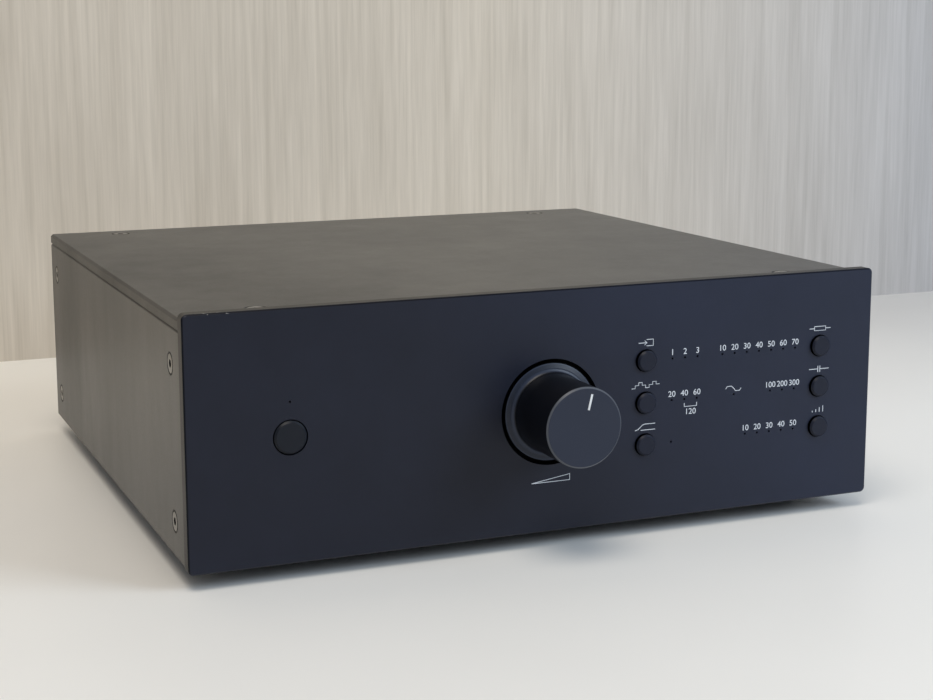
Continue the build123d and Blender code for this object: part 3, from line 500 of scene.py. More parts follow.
# Painted shade: the frame is black behind the gap round the knob.
clear_of_gap = frame_finish.clamp(frame_finish.from_knob_axis(), black_to, black_to + 1 * mm)
frame_finish.set(base_color=frame_finish.between(clear_of_gap, black_painted_shade, frame_finish.metal))
print("front frame blackened to", round(black_to / mm, 1), "mm from the knob's axis")

# %% [markdown]
# The screws of the cover and sides are dull grey steel on their flat faces. Their rims and sockets lie a
# little deeper and carry painted shade, black, so each face has a thin dark outline.

# %% Screws with painted shade round their faces
screw_steel_and_shade = plated("screw_steel_with_painted_shade", (0.24, 0.234, 0.220), (0.36, 0.350, 0.332), 0.42, scale=1500)
skin = 0.02 * mm
top_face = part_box("cover_screws")[1][2] - skin
outer_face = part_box("side_screws")[1][0] - skin
outwards = screw_steel_and_shade.node("Math", {"operation": "ABSOLUTE"}, {0: screw_steel_and_shade.along("X")})
on_top_face = screw_steel_and_shade.clamp(screw_steel_and_shade.along("Z"), top_face - skin, top_face)
on_outer_face = screw_steel_and_shade.clamp(outwards, outer_face - skin, outer_face)
is_face = screw_steel_and_shade.clamp(on_top_face + on_outer_face, 0, 1)
# Painted shade: the screws are black everywhere but their flat faces.
screw_steel_and_shade.set(base_color=screw_steel_and_shade.between(is_face, black_painted_shade, screw_steel_and_shade.metal))
print("screw faces at", round(top_face / mm, 2), "and", round(outer_face / mm, 2), "mm")

# %% [markdown]
# Powder coat has an orange peel relief about a millimetre wide. Blackened screws are a little smoother
# and slightly brown. Both are dielectrics, as paint is.

# %% Paint and blackened steel
def coated(name, dark, light, roughness, scale, depth, gloss=0.5):
    """Paint or an oxide layer with a soft relief."""
    finish = Finish(name, specular_ior_level=gloss)
    peel = finish.noise(scale, detail=2, roughness=0.5)
    patch = finish.noise(40, detail=3)
    finish.set(base_color=finish.between(patch, dark, light))
    finish.set(roughness=roughness + (patch - 0.5) * 0.12)
    finish.bump(peel, depth)
    return finish


painted = coated("painted_steel", (0.016, 0.016, 0.017), (0.022, 0.022, 0.023), 0.52, 1500, 0.03 * mm)
oxide_dark = (0.018, 0.017, 0.016)
oxide_light = (0.028, 0.026, 0.024)
blackened = coated("black_steel", oxide_dark, oxide_light, 0.36, 3000, 0.01 * mm, gloss=0.7)
sink_finish = coated("black_aluminium", (0.014, 0.014, 0.015), (0.022, 0.022, 0.024), 0.45, 2500, 0.01 * mm)
print("paint, black steel and the heat sink")

# %% [markdown]
# Moulded plastic takes the fine spark texture of its mould. Colours vary only a little. A higher bump
# scale with a small depth reads as a satin plastic, a lower one with more depth as rubber.

# %% Plastics and rubber
moulding = coated("black_moulding", (0.012, 0.012, 0.013), (0.018, 0.018, 0.019), 0.34, 4000, 0.008 * mm)
control = coated("control_body", (0.030, 0.030, 0.031), (0.044, 0.044, 0.045), 0.50, 3000, 0.01 * mm)
white_plastic = coated("white_insulator", (0.74, 0.73, 0.70), (0.82, 0.81, 0.78), 0.32, 3500, 0.006 * mm)
red_plastic = coated("red_insulator", (0.44, 0.014, 0.016), (0.56, 0.022, 0.024), 0.32, 3500, 0.006 * mm)
insert = coated("socket_insert", (0.60, 0.60, 0.58), (0.70, 0.70, 0.68), 0.42, 3500, 0.006 * mm)
flap_finish = coated("dark_flap", (0.022, 0.022, 0.024), (0.032, 0.032, 0.034), 0.40, 3500, 0.008 * mm)
rubber = coated("rubber", (0.014, 0.014, 0.014), (0.030, 0.029, 0.028), 0.82, 1800, 0.05 * mm, gloss=0.3)
relay_finish = coated("component_white", (0.62, 0.61, 0.57), (0.72, 0.71, 0.67), 0.45, 3000, 0.008 * mm)
film_finish = coated("component_red", (0.34, 0.030, 0.022), (0.46, 0.045, 0.032), 0.28, 900, 0.02 * mm)
chip_finish = coated("component_black", (0.015, 0.015, 0.015), (0.024, 0.024, 0.024), 0.58, 5000, 0.01 * mm)
lamp_finish = coated("lamp_white", (0.70, 0.69, 0.60), (0.80, 0.79, 0.70), 0.30, 4000, 0.004 * mm)
print("plastics, rubber and component bodies")

# %% [markdown]
# The light pipes are clear and need `Transmission` and a real index of refraction. The green boards carry
# copper tracks under their solder mask: the borders of a Voronoi pattern's cells stand for them, a little
# lighter and a little proud.

# %% Clear plastic and boards
pipe_finish = Finish("clear_plastic", transmission_weight=0.9, ior=1.49)
pipe_marks = pipe_finish.noise(2500, detail=2)
pipe_finish.set(base_color=pipe_finish.between(pipe_marks, (0.86, 0.90, 0.90), (0.94, 0.96, 0.96)))
pipe_finish.set(roughness=0.08 + pipe_marks * 0.10)

board_finish = Finish("circuit_board", specular_ior_level=0.5)
cell_size = {"Vector": board_finish.place, "Scale": 320, "Randomness": 0.6}
cells = board_finish.node("TexVoronoi", {"feature": "DISTANCE_TO_EDGE"}, cell_size)
off_tracks = board_finish.clamp(cells, 0.10, 0.14)
solder_mask = board_finish.noise(300, detail=3)
board_green = board_finish.between(solder_mask, (0.010, 0.085, 0.030), (0.014, 0.110, 0.040))
board_finish.set(base_color=board_finish.between(off_tracks, (0.022, 0.170, 0.062), board_green))
board_finish.set(roughness=0.30 + solder_mask * 0.12)
board_finish.bump(1.0 - off_tracks, 0.03 * mm)
print("clear plastic and circuit boards")

# %% [markdown]
# The capacitors' cans wear a printed sleeve with one pale stripe, and the flat cable has one rib for each
# wire. Both are a sine of the place along X: the stripe is the crest of a wave as long as the cans' pitch,
# and the ribs follow the wires' standard pitch of 1.27 mm.

# %% Cans and the flat cable
can_finish = Finish("can_sleeve", specular_ior_level=0.5)
can_pitch = 14.0 * mm
can_turn = can_finish.along("X") * (2 * pi / can_pitch)
can_wave = can_finish.node("Math", {"operation": "SINE"}, {0: can_turn})
can_stripe = can_finish.clamp(can_wave, 0.93, 0.95)
can_film = can_finish.noise(800, detail=3)
can_dark = can_finish.between(can_film, (0.012, 0.014, 0.022), (0.020, 0.022, 0.032))
can_finish.set(base_color=can_finish.between(can_stripe, can_dark, (0.42, 0.43, 0.44)))
can_finish.set(roughness=0.26 + can_film * 0.14)
can_finish.bump(can_film, 0.01 * mm)

ribbon_finish = Finish("grey_ribbon", specular_ior_level=0.4)
wire_pitch = 1.27 * mm
ribbon_turn = ribbon_finish.along("X") * (2 * pi / wire_pitch)
ribs = ribbon_finish.node("Math", {"operation": "SINE"}, {0: ribbon_turn}) * 0.5 + 0.5
ribbon_skin = ribbon_finish.noise(700, detail=3)
ribbon_grey = ribbon_finish.between(ribbon_skin, (0.30, 0.31, 0.32), (0.38, 0.39, 0.40))
groove = ribbon_finish.clamp(ribs, 0.0, 0.3)
ribbon_finish.set(base_color=ribbon_finish.between(groove, (0.16, 0.165, 0.17), ribbon_grey))
ribbon_finish.set(roughness=0.48 + ribbon_skin * 0.10)
ribbon_finish.bump(ribs, 0.3 * mm)
print("ribs", round(wire_pitch / mm, 2), "mm apart")

# %% [markdown]
# Each CAD node takes its finish through its object's material slot. The mesh stays as it is. A node
# left out of this table would show its plain imported colour, so the last line counts them.

# %% A finish for every CAD node
finish_of = {
    "front_panel": panel_finish,
    "top_cover": case_finish,
    "left_side_panel": case_finish,
    "right_side_panel": case_finish,
    "bottom_plate": painted,
    "rear_panel": painted,
    "front_frame": frame_finish,
    "rear_frame": zinc,
    "cover_screws": screw_steel_and_shade,
    "side_screws": screw_steel_and_shade,
    "bottom_screws": blackened,
    "rear_panel_screws": blackened,
    "panel_screws": zinc,
    "feet": rubber,
    "level_knob": knob_finish,
    "knob_set_screw": blackened,
    "pot_shaft": nickel,
    "pot_body": control,
    "pot_nut": nickel,
    "power_button": power_finish,
    "button_switches": control,
    "indicator_leds": lamp_finish,
    "light_pipes": pipe_finish,
    "front_board": board_finish,
    "main_board": board_finish,
    "panel_standoffs": nickel,
    "board_pillars": nickel,
    "board_screws": zinc,
    "signal_relays": relay_finish,
    "film_capacitors": film_finish,
    "electrolytic_capacitors": can_finish,
    "circuit_chips": chip_finish,
    "heat_sink": sink_finish,
    "voltage_regulators": chip_finish,
    "ribbon_connectors": chip_finish,
    "ribbon_cable": ribbon_finish,
    "jack_blocks": moulding,
    "jack_sleeves": gold,
    "jack_insulators_white": white_plastic,
    "jack_insulators_red": red_plastic,
    "jack_contacts": gold,
    "jack_block_screws": blackened,
    "usb_shell": nickel,
    "usb_core": insert,
    "optical_socket": moulding,
    "optical_flap": flap_finish,
    "dc_inlet": moulding,
    "dc_pin": nickel,
    "ground_post": gold,
    "ground_lock_nut": zinc,
    "ground_washer": gold,
    "ground_nut": gold,
}
finish_of.update({key: key_finish for key in keys})
for name, finish in finish_of.items():
    for slot in frame["nodes"][name].material_slots:
        slot.material = finish.material
print("finished", len(finish_of), "of", len(frame["nodes"]), "nodes")

# %% [markdown]
# The small pieces from here on are made in mesh code, upright with their foot at height 0, as they would
# stand on a lathe's table. `turned_shape` draws half a section and spins it about Z. The spin meets itself
# after a full turn, and `use_merge` closes that seam. Points on the axis are spun onto themselves, so
# their doubles are removed, and then the faces are turned outwards.

# %% Turned shapes
def turned_shape(outline, steps=48):
    """Bmesh turned about Z from (radius, height) points in millimetres."""
    shape = bmesh.new()
    points = [shape.verts.new((radius * mm, 0, height * mm)) for radius, height in outline]
    lines = [shape.edges.new(pair) for pair in zip(points, points[1:])]
    bmesh.ops.spin(
        shape,
        geom=points + lines,
        axis=(0, 0, 1),
        angle=2 * pi,
        steps=steps,
        use_merge=True,
    )
    bmesh.ops.remove_doubles(shape, verts=shape.verts[:], dist=0.001 * mm)
    bmesh.ops.recalc_face_normals(shape, faces=shape.faces[:])
    return shape


print("turned shapes are spun about Z")

# %% [markdown]
# One function makes every finished piece. It copies a shape to each of its places, with the place in the
# mesh itself, so that the object stays at the origin and unturned. It shades the piece smooth but keeps
# edges sharp that turn by more than the crease, in degrees. Last it says which body the piece rides on.

# %% Finished pieces
def made(name, shape, finish, body, places=(Matrix(),), crease=32):
    """One object with the shape at each place, its place in its mesh, riding on a body."""
    single = bpy.data.meshes.new(name + "_one")
    shape.to_mesh(single)
    shape.free()
    whole = bmesh.new()
    for place in places:
        copy = single.copy()
        copy.transform(place)
        whole.from_mesh(copy)
        bpy.data.meshes.remove(copy)
    mesh = bpy.data.meshes.new(name)
    whole.to_mesh(mesh)
    whole.free()
    bpy.data.meshes.remove(single)
    mesh.shade_smooth()
    mesh.set_sharp_from_angle(angle=radians(crease))
    mesh.materials.append(finish.material)
    piece = bpy.data.objects.new(name, mesh)
    bpy.context.collection.objects.link(piece)
    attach(piece, body)
    return piece


print("pieces stay at the origin, with their places in their meshes")

# %% [markdown]
# Silk-screened ink is a raised film, a few hundredths of a millimetre thick. It stands half in front of
# the panel's face and half in it, so that no gap shows behind it. All of the print is gathered in one
# mesh, as it is one screen's work.

# %% Ink
ink = Finish("lamp_white_ink", specular_ior_level=0.4)
ink_film = ink.noise(9000, detail=3)
ink.set(base_color=ink.between(ink_film, (0.58, 0.61, 0.66), (0.70, 0.73, 0.78)))
ink.set(roughness=0.55 + ink_film * 0.1)
ink.bump(ink_film, 0.004 * mm)
ink_height = 0.03 * mm
print_layers = bmesh.new()


def print_mesh(mesh):
    """Adds a mesh to the printing."""
    print_layers.from_mesh(mesh)
    bpy.data.meshes.remove(mesh)


print("ink", round(ink_height / mm, 3), "mm thick")

# %% [markdown]
# Digits come from a text curve with Blender's own font. The curve is made a mesh, measured, and scaled to
# the real height of the print. Its small offset fattens the strokes a little, as ink spreads, and its
# extrusion, which goes both ways, makes the layer. The text lies flat when it is made, so a quarter turn
# about X stands it up against the panel.

# %% Digits
half_layer = 0.01
digit_weight = 0.002
digit_widening = 1.02
stand_up = Matrix.Rotation(radians(90), 4, "X")


def digits(text, x, z, height):
    """Digits centred at x and z on the panel's face."""
    curve = bpy.data.curves.new("digits", "FONT")
    curve.body = text
    curve.align_x = "CENTER"
    curve.offset = digit_weight
    curve.extrude = half_layer
    curve.resolution_u = 4
    writer = bpy.data.objects.new("digits", curve)
    mesh = bpy.data.meshes.new_from_object(writer)
    tall = [vertex.co.y for vertex in mesh.vertices]
    scale = height / (max(tall) - min(tall))
    lift = (max(tall) + min(tall)) / 2 * scale
    flat = Matrix.Diagonal((scale * digit_widening, scale, ink_height / (2 * half_layer), 1))
    mesh.transform(Matrix.Translation((x, front_y, z - lift)) @ stand_up @ flat)
    print_mesh(mesh)
    bpy.data.objects.remove(writer)


print("digits", digit_widening, "times as wide as the font's")

# %% [markdown]
# Signs are drawn as lines with a round pen: a poly curve with a bevel gives the pen's width, and
# squashing it along Y leaves a flat film.

# %% A round pen
pen_width = 0.23 * mm


def pen(points, x, z):
    """A drawn line through (across, up) points in millimetres about x and z."""
    curve = bpy.data.curves.new("pen", "CURVE")
    curve.dimensions = "3D"
    curve.bevel_depth = pen_width / 2
    curve.bevel_resolution = 1
    curve.use_fill_caps = True
    line = curve.splines.new("POLY")
    line.points.add(len(points) - 1)
    for point, (across, rise) in zip(line.points, points):
        point.co = (across * mm, 0, rise * mm, 1)
    drawer = bpy.data.objects.new("pen", curve)
    mesh = bpy.data.meshes.new_from_object(drawer)
    flat = Matrix.Diagonal((1, ink_height / pen_width, 1, 1))
    mesh.transform(Matrix.Translation((x, front_y, z)) @ flat)
    print_mesh(mesh)
    bpy.data.objects.remove(drawer)


print("pen", round(pen_width / mm, 2), "mm wide")

# %% [markdown]
# The numbers stand over the lamps they belong to, and each row's places come from the lamps' pitch. A
# bracket under two lamps of the middle row ties them to one number below.

# %% Numbers over the lamps
number_rise = 1.80 * mm
number_height = 1.68 * mm
lamp_numbers = {
    1: {-5: "1", -4: "2", -3: "3", -1: "10", 0: "20", 1: "30", 2: "40", 3: "50", 4: "60", 5: "70"},
    0: {-5: "20", -4: "40", -3: "60", 3: "100", 4: "200", 5: "300"},
    -1: {1: "10", 2: "20", 3: "30", 4: "40", 5: "50"},
}
for row, numbers in lamp_numbers.items():
    for step, text in numbers.items():
        digits(text, lamp_x + step * lamp_pitch, row_z[row] + number_rise, number_height)
bracket_x = lamp_x - 3.5 * lamp_pitch
bracket_drop = 3.65 * mm
bracket = [(-2.0, -1.2), (-2.0, -2.2), (2.0, -2.2), (2.0, -1.2)]
pen(bracket, bracket_x, row_z[0])
digits("120", bracket_x, row_z[0] - bracket_drop, number_height)
print(sum(len(numbers) for numbers in lamp_numbers.values()) + 1, "numbers printed")

# %% [markdown]
# Over each key stands a sign for what it sets: an arrow into a box for the input, a stepped wave for the
# sample rate, a curve that cuts the lowest notes, a resistor, a capacitor and rising bars for gain.
# Signs are short lists of points about the sign's own middle.

# %% Signs over the keys, the clip lamp and under the knob
sign_rise = 5.1 * mm
signs = {
    "input_button": [
        [(-2.4, 0), (0.2, 0)],
        [(-0.5, 0.6), (0.2, 0), (-0.5, -0.6)],
        [(0.1, 0.9), (2.2, 0.9), (2.2, -0.9), (0.1, -0.9)],
    ],
    "rate_button": [
        [(-4.4, -0.8), (-3.3, -0.8), (-3.3, 0), (-2.2, 0), (-2.2, 0.8)],
        [(-2.2, 0.8), (-1.1, 0.8), (-1.1, 0), (0, 0), (0, -0.8)],
        [(0, -0.8), (1.1, -0.8), (1.1, 0), (2.2, 0), (2.2, 0.8), (3.3, 0.8), (3.3, 0), (4.4, 0)],
    ],
    "filter_button": [
        [(-3.2, -0.9), (-2.2, -0.6), (-1.4, 0.1), (-0.8, 0.6), (-0.1, 0.8), (3.2, 0.8)],
        [(-1.4, -0.9), (3.2, -0.9)],
    ],
    "resistance_button": [
        [(-3.6, 0), (-1.9, 0)],
        [(-1.9, 0.6), (1.9, 0.6), (1.9, -0.6), (-1.9, -0.6), (-1.9, 0.6)],
        [(1.9, 0), (3.6, 0)],
    ],
    "capacitance_button": [
        [(-3.4, 0), (-0.35, 0)],
        [(-0.35, 0.95), (-0.35, -0.95)],
        [(0.35, 0.95), (0.35, -0.95)],
        [(0.35, 0), (3.4, 0)],
    ],
    "gain_button": [
        [(-1.8, -0.9), (-1.8, -0.4)],
        [(-0.6, -0.9), (-0.6, 0)],
        [(0.6, -0.9), (0.6, 0.45)],
        [(1.8, -0.9), (1.8, 0.9)],
    ],
}
for key, lines in signs.items():
    for line in lines:
        pen(line, middle(key).x, middle(key).z + sign_rise)
clip_rise = 1.70 * mm
clip_wave = [(-2.7, 0), (-2.2, 0.7), (-0.8, 0.7), (0, 0), (0.5, -0.7), (1.9, -0.7), (2.4, 0)]
pen(clip_wave, lamp_x, row_z[0] + clip_rise)
level_drop = 18.8 * mm
level_wedge = [(-5.8, -0.85), (5.8, -0.85), (5.8, 0.85), (-5.8, -0.85)]
pen(level_wedge, knob_x, knob_z - level_drop)
legends = made("front_legends", print_layers, ink, "case")
print(len(legends.data.polygons), "faces of print")

# %% [markdown]
# Two pieces are small bars with soft edges: the paint in the knob's mark and the contacts of the data
# socket. A cube scaled to the bar's size and then beveled all round makes both.

# %% Rounded bars
def rounded_bar(size, rounding):
    """A bar with that size in millimetres along X, Y and Z, about the origin, with rounded edges."""
    shape = bmesh.new()
    bmesh.ops.create_cube(shape, size=1.0)
    bmesh.ops.scale(shape, vec=Vector(size) * mm, verts=shape.verts)
    bmesh.ops.bevel(
        shape,
        geom=shape.edges[:],
        offset=rounding * mm,
        affect="EDGES",
        segments=2,
        profile=0.5,
        material=-1,
    )
    return shape


print("bars have two faces in the curve of each edge")

# %% [markdown]
# The knob's mark is a milled groove filled with white paint. The CAD model has the groove, so the paint
# is one thin bar inside it, a hair under the face. It is made upright and turned with the knob's rest
# angle.

# %% Paint in the knob's mark
mark_turn = radians(13.5)
mark_off_axis = 7.0 * mm
mark_inside = 0.085 * mm
mark_shape = rounded_bar((0.64, 0.13, 4.34), 0.05)
mark_place = (
    Matrix.Translation((knob_x, knob_tip + mark_inside, knob_z))
    @ Matrix.Rotation(mark_turn, 4, "Y")
    @ Matrix.Translation((0, 0, mark_off_axis))
)
paint = Finish("mark_paint", specular_ior_level=0.5)
paint_film = paint.noise(4000, detail=3)
paint.set(base_color=paint.between(paint_film, (0.66, 0.67, 0.68), (0.80, 0.81, 0.82)))
paint.set(roughness=0.42 + paint_film * 0.12)
paint.bump(paint_film, 0.006 * mm)
made("knob_mark", mark_shape, paint, "knob", [mark_place])
print("mark turned", round(degrees(mark_turn), 1), "degrees")

# %% [markdown]
# Screws with a hexagon socket and the knurled nut aren't round all over, so a lathe's spin can't make
# them. `stacked` joins a ring of points to the next with bridge_loops instead. A hexagon with each side
# cut into eight has as many points as a round ring, so the step from a socket's lip to a round head is
# one clean bridge too. Between two rings in one plane the operator can't tell which way round they run
# and may cross its faces, so the rings are bridged one above the other like a tube, and only then slid
# to their heights. Cutting edges makes older references to points stale, so a ring is known by its edges.

# %% Stacked rings
knurl = 0.93
ring_gap = 10 * mm


def ring(shape, radius, level, form, round_points):
    """The edges of a new ring at a level, which is round, a hexagon or knurled."""
    before = set(shape.edges)
    points = 6 if form == "hexagon" else round_points
    verts = bmesh.ops.create_circle(shape, segments=points, radius=radius * mm)["verts"]
    edges = [edge for edge in shape.edges if edge not in before]
    if form == "hexagon":
        bmesh.ops.subdivide_edges(shape, edges=edges, cuts=round_points // points - 1)
        edges = [edge for edge in shape.edges if edge not in before]
        verts = list({vert for edge in edges for vert in edge.verts})
    if form == "knurled":
        bmesh.ops.scale(shape, vec=(knurl, knurl, 1), verts=verts[::2])
    bmesh.ops.translate(shape, vec=(0, 0, level * ring_gap), verts=verts)
    return edges


def stacked(rings, closed=False, round_points=48):
    """Shape through (radius, height, form) rings, with flat ends, or closed back to its first ring."""
    shape = bmesh.new()
    loops = [
        ring(shape, radius, level, form, round_points)
        for level, (radius, height, form) in enumerate(rings)
    ]
    for lower, upper in zip(loops, loops[1:]):
        bmesh.ops.bridge_loops(shape, edges=lower + upper)
    if closed:
        bmesh.ops.bridge_loops(shape, edges=loops[-1] + loops[0])
    else:
        bmesh.ops.contextual_create(shape, geom=loops[0])
        bmesh.ops.contextual_create(shape, geom=loops[-1])
    for edges, (radius, height, form) in zip(loops, rings):
        for edge in edges:
            for vert in edge.verts:
                vert.co.z = height * mm
    bmesh.ops.recalc_face_normals(shape, faces=shape.faces[:])
    return shape


print("every other point of a knurled ring is drawn in to", knurl, "of its radius")

# %% [markdown]
# The case is held by countersunk screws with a hexagon socket. Their CAD twins have few sides, so rounder
# ones stand in for them here. The rings run from the socket's floor up its wall, over the lip and the
# face, and down the cone to the end of the shank.

# %% A socket screw
def socket_screw():
    """M3 countersunk screw with its face at height 0 and its shank below."""
    socket = [(0.70, -1.40, "hexagon"), (1.12, -1.10, "hexagon")]
    socket += [(1.12, -0.08, "hexagon"), (1.20, 0, "hexagon")]
    head = [(2.44, 0, "round"), (2.60, -0.05, "round"), (2.74, -0.18, "round"), (1.42, -1.5, "round")]
    shank = [(1.42, -7.7, "round"), (1.15, -8.0, "round")]
    return stacked(socket + head + shank)


sample = socket_screw()
print("screw of", len(sample.faces), "faces, closed:", all(edge.is_manifold for edge in sample.edges))
sample.free()

# %% [markdown]
# A finished piece often stands for a CAD node of the case: it takes that node's place, and its own shape
# is the finer one. `facing` turns an upright shape to a side of the case, and `ends` reads a node's box.

# %% Stand-ins for CAD nodes
facing = {
    "up": Matrix(),
    "down": Matrix.Rotation(radians(180), 4, "X"),
    "left": Matrix.Rotation(radians(-90), 4, "Y"),
    "right": Matrix.Rotation(radians(90), 4, "Y"),
    "rear": Matrix.Rotation(radians(-90), 4, "X"),
}


def ends(node, inset=0):
    """The two ends of a node's box along X, Y and Z, moved in by the inset."""
    return [(low + inset, high - inset) for low, high in zip(*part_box(node))]


def stand_in(node, name, shape, finish, places):
    """A piece at (place, side) pairs that stands for a CAD node of the case."""
    spots = [Matrix.Translation(place) @ facing[side] for place, side in places]
    piece = made(name, shape, finish, "case", spots)
    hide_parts(node)


print("sides:", *facing)

# %% [markdown]
# A group of screws shares a CAD node, and the box of that node gives their places. The screws point out
# of one face of the box, and the outermost heads touch its sides, so the places are the face's corners,
# moved in by one head's radius.

# %% Screws of the case
head_radius = 2.9 * mm
low_end, high_end = 0, 1
face_of = {  # side of the case: axis of the box, and which of its ends
    "up": (2, high_end),
    "down": (2, low_end),
    "left": (0, low_end),
    "right": (0, high_end),
    "rear": (1, high_end),
}


def at_corners(node, side):
    """(place, side) pairs for the screws of a node that point to that side."""
    axis, end = face_of[side]
    xs_ys_zs = ends(node, head_radius)
    xs_ys_zs[axis] = [ends(node)[axis][end]]
    return [(place, side) for place in product(*xs_ys_zs)]


screw_groups = [
    ("cover_screws", "cover_socket_screws", ["up"], screw_steel_and_shade),
    ("bottom_screws", "bottom_socket_screws", ["down"], blackened),
    ("side_screws", "side_socket_screws", ["left", "right"], screw_steel_and_shade),
    ("rear_panel_screws", "rear_socket_screws", ["rear"], blackened),
]
for node, name, sides, finish in screw_groups:
    screw_places = [pair for side in sides for pair in at_corners(node, side)]
    stand_in(node, name, socket_screw(), finish, screw_places)
    print(len(screw_places), name)

# %% [markdown]
# The feet are moulded rubber buttons with a rounded rim and a shallow hollow below, which keeps them from
# rocking. They keep the CAD feet's height and widest radius.

# %% Feet
foot_rim = 7.5
foot_height = ends("feet")[2][1] / mm
sole = [(0, 0.3), (5.0, 0.3), (5.5, 0.12), (5.9, 0), (6.7, 0), (7.1, 0.1), (7.4, 0.35), (foot_rim, 0.75)]
crown = [(6.95, foot_height - 0.4), (6.8, foot_height - 0.1), (6.5, foot_height), (0, foot_height)]
foot_xs, foot_ys = ends("feet", foot_rim * mm)[:2]
foot_places = [((x, y, 0), "up") for x in foot_xs for y in foot_ys]
stand_in("feet", "rubber_feet", turned_shape(sole + crown, steps=64), rubber, foot_places)
print(len(foot_places), "feet", round(foot_height, 2), "mm high")

# %% [markdown]
# Each phono socket is three turned pieces: a gilt sleeve with a rolled lip, a white or red insulator a
# little inside it, and a gilt tube for the plug's pin. The tube is as deep as the pin is long, so that its
# mouth looks dark. The record's mounts say where every socket is.

# %% Phono sockets
mounts = {mount["name"]: Vector(mount["pos_m"]) for mount in frame["record"]["mounts"]}
uses = ("phono_input", "line_input", "line_output")
socket_sides = {
    "white": [mounts[f"{use}_left"] for use in uses],
    "red": [mounts[f"{use}_right"] for use in uses],
}
nose_y = ends("jack_sleeves")[1][0]


def at_sockets(centres):
    """Places on the rear panel's sockets, where their noses end."""
    return [((centre.x, nose_y, centre.z), "rear") for centre in centres]


every_socket = at_sockets(socket_sides["white"] + socket_sides["red"])
sleeve = [(4.15, 0), (4.15, 7.9), (4.08, 8.2), (3.95, 8.36), (3.82, 8.4)]
sleeve += [(3.68, 8.3), (3.6, 8.05), (3.6, 0), (4.15, 0)]
stand_in("jack_sleeves", "phono_sleeves", turned_shape(sleeve, steps=64), gold, every_socket)
tube = [(0, -6.0), (1.55, -6.0), (1.6, 6.5), (1.68, 6.72), (1.76, 6.8)]
tube += [(1.85, 6.72), (1.93, 6.5), (1.93, -6.4), (0, -6.4)]
stand_in("jack_contacts", "phono_contacts", turned_shape(tube), gold, every_socket)
insulator = [(1.95, 0), (1.95, 6.1), (2.1, 6.35), (2.4, 6.4)]
insulator += [(3.3, 6.4), (3.5, 6.3), (3.58, 6.1), (3.58, 0), (1.95, 0)]
for colour, finish in (("white", white_plastic), ("red", red_plastic)):
    stand_in(
        f"jack_insulators_{colour}",
        f"phono_insulators_{colour}",
        turned_shape(insulator),
        finish,
        at_sockets(socket_sides[colour]),
    )
print(len(every_socket), "phono sockets")

# %% [markdown]
# A small screw with a domed head holds each pair of phono sockets. It has a hexagon socket like the case
# screws, only smaller, and its head sits on the rear panel.

# %% Screws of the phono sockets
dome_socket = [(0.40, 0.35, "hexagon"), (0.72, 0.50, "hexagon")]
dome_socket += [(0.72, 1.20, "hexagon"), (0.80, 1.28, "hexagon")]
dome = [(1.20, 1.27, "round"), (1.70, 1.08, "round"), (2.02, 0.70, "round")]
dome += [(2.18, 0.25, "round"), (2.18, 0, "round")]
dome_shank = [(1.18, 0, "round"), (1.18, -8.0, "round")]
seat_y = ends("rear_panel")[1][1]
block_z = middle("jack_block_screws").z
dome_places = [((centre.x, seat_y, block_z), "rear") for centre in socket_sides["white"]]
dome_screw = stacked(dome_socket + dome + dome_shank)
stand_in("jack_block_screws", "socket_block_screws", dome_screw, blackened, dome_places)
print(len(dome_places), "domed screws")

# %% [markdown]
# The earth terminal is a threaded post with a shoulder. The thread is a true one: a small triangle is
# spun about the post and moves up by a share of the pitch at each step, so one spin makes all its turns.

# %% Earth post with its thread
post_low, post_high = ends("ground_post")[1]
post_length = (post_high - post_low) / mm
seat = (seat_y - post_low) / mm
washer_play = 0.1
shoulder = (ends("ground_washer")[1][0] - seat_y) / mm - washer_play
core = 1.68
post_foot = [(0, 0), (1.5, 0), (core, 0.2), (core, seat), (4.4, seat), (4.58, seat + 0.2)]
post_head = [(4.58, seat + shoulder - 0.2), (4.4, seat + shoulder), (core, seat + shoulder)]
post_tip = [(core, post_length - 0.4), (1.3, post_length), (0, post_length)]
post_shape = turned_shape(post_foot + post_head + post_tip)
thread_pitch = 0.7
thread_start = seat + shoulder + 0.5
plain_tip = 0.9
thread_turns = int((post_length - thread_start - plain_tip) / thread_pitch)
tooth_root, tooth_crest, tooth_half = core - 0.06, 1.97, 0.3
tooth = [(tooth_root, -tooth_half), (tooth_crest, 0), (tooth_root, tooth_half)]
tooth_verts = [post_shape.verts.new((radius * mm, 0, (thread_start + rise) * mm)) for radius, rise in tooth]
tooth_face = post_shape.faces.new(tooth_verts)
steps_in_turn = 24
bmesh.ops.spin(
    post_shape,
    geom=[tooth_face, *tooth_face.edges, *tooth_verts],
    axis=(0, 0, 1),
    dvec=(0, 0, thread_pitch * mm / steps_in_turn),
    angle=2 * pi * thread_turns,
    steps=steps_in_turn * thread_turns,
)
bmesh.ops.recalc_face_normals(post_shape, faces=post_shape.faces[:])
earth = mounts["earth_terminal"]
stand_in("ground_post", "earth_post", post_shape, gold, [((earth.x, post_low, earth.z), "rear")])
print("thread of", thread_turns, "turns")

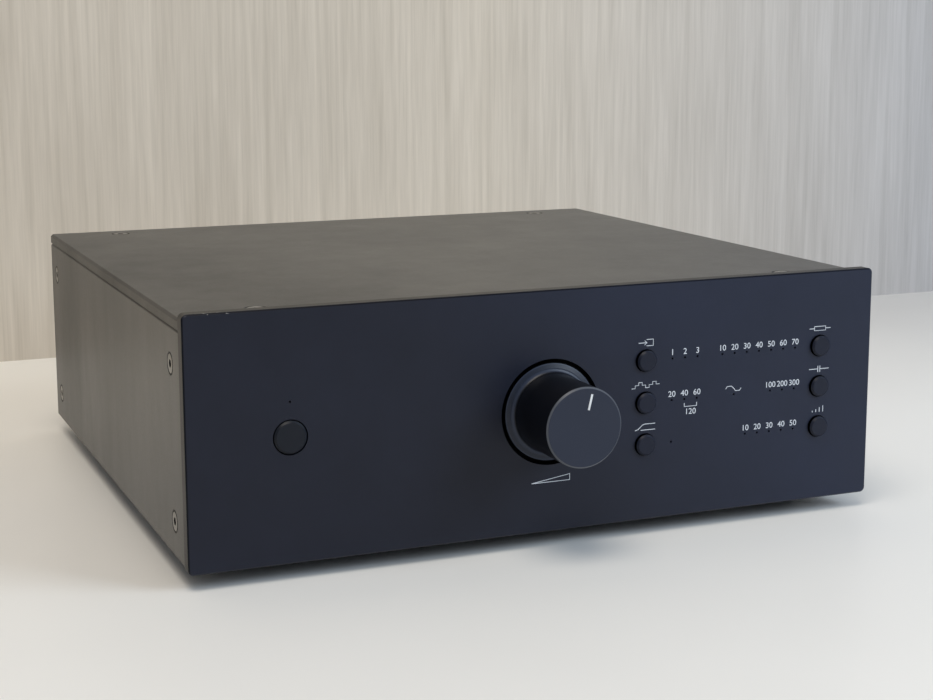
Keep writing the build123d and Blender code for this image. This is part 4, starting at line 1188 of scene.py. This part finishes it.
# %% [markdown]
# The thumb nut is knurled so that fingers grip it: every other point of its rings is drawn in. It turns
# on its own joint, so it rides on its own body, and its washer slides with it.

# %% Thumb nut
nut_low, nut_high = ends("ground_nut")[1]
nut_length = (nut_high - nut_low) / mm
nut_rings = [(2.10, 0, "round"), (3.9, 0, "round"), (4.3, 0.25, "round"), (4.3, 0.9, "round")]
nut_rings += [(4.6, 1.0, "knurled"), (4.98, 1.35, "knurled")]
nut_rings += [(4.98, nut_length - 0.4, "knurled"), (4.6, nut_length, "knurled")]
nut_rings += [(3.3, nut_length, "round"), (3.1, nut_length - 0.3, "round")]
nut_rings += [(2.10, nut_length - 0.3, "round")]
nut_shape = stacked(nut_rings, closed=True, round_points=60)
nut_place = Matrix.Translation((earth.x, nut_low, earth.z)) @ facing["rear"]
thumb_nut = made("thumb_nut", nut_shape, gold, "ground_nut", [nut_place], crease=24)
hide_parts("ground_nut")
print("nut", round(nut_length, 2), "mm long")

# %% [markdown]
# The data socket has four gilt contacts on its tongue, two above and two below. The power inlet has a
# pin with a rounded tip. Both are small, but a socket without them looks like a plain hole.

# %% Contacts of the data socket and the pin of the power inlet
data = mounts["data_socket"]
contact_y = data.y - 3.9 * mm
contact_across = 1.25 * mm
contact_up = 1.66 * mm
contact_spots = [
    Matrix.Translation((data.x + side * contact_across, contact_y, data.z + face * contact_up))
    for side in (-1, 1)
    for face in (-1, 1)
]
made("data_contacts", rounded_bar((1.1, 5.6, 0.16), 0.06), gold, "case", contact_spots)

pin_low, pin_high = ends("dc_pin")[1]
pin_length = (pin_high - pin_low) / mm
pin = [(0, 0), (1.04, 0), (1.04, pin_length - 0.8), (0.96, pin_length - 0.4)]
pin += [(0.7, pin_length - 0.1), (0, pin_length)]
inlet = mounts["power_inlet"]
pin_places = [((inlet.x, pin_low, inlet.z), "rear")]
stand_in("dc_pin", "inlet_pin", turned_shape(pin), nickel, pin_places)
print(len(contact_spots), "contacts and a pin", round(pin_length, 2), "mm long")

# %% [markdown]
# The last cell only prints a closing line.

# %% End
print("end of the scene")
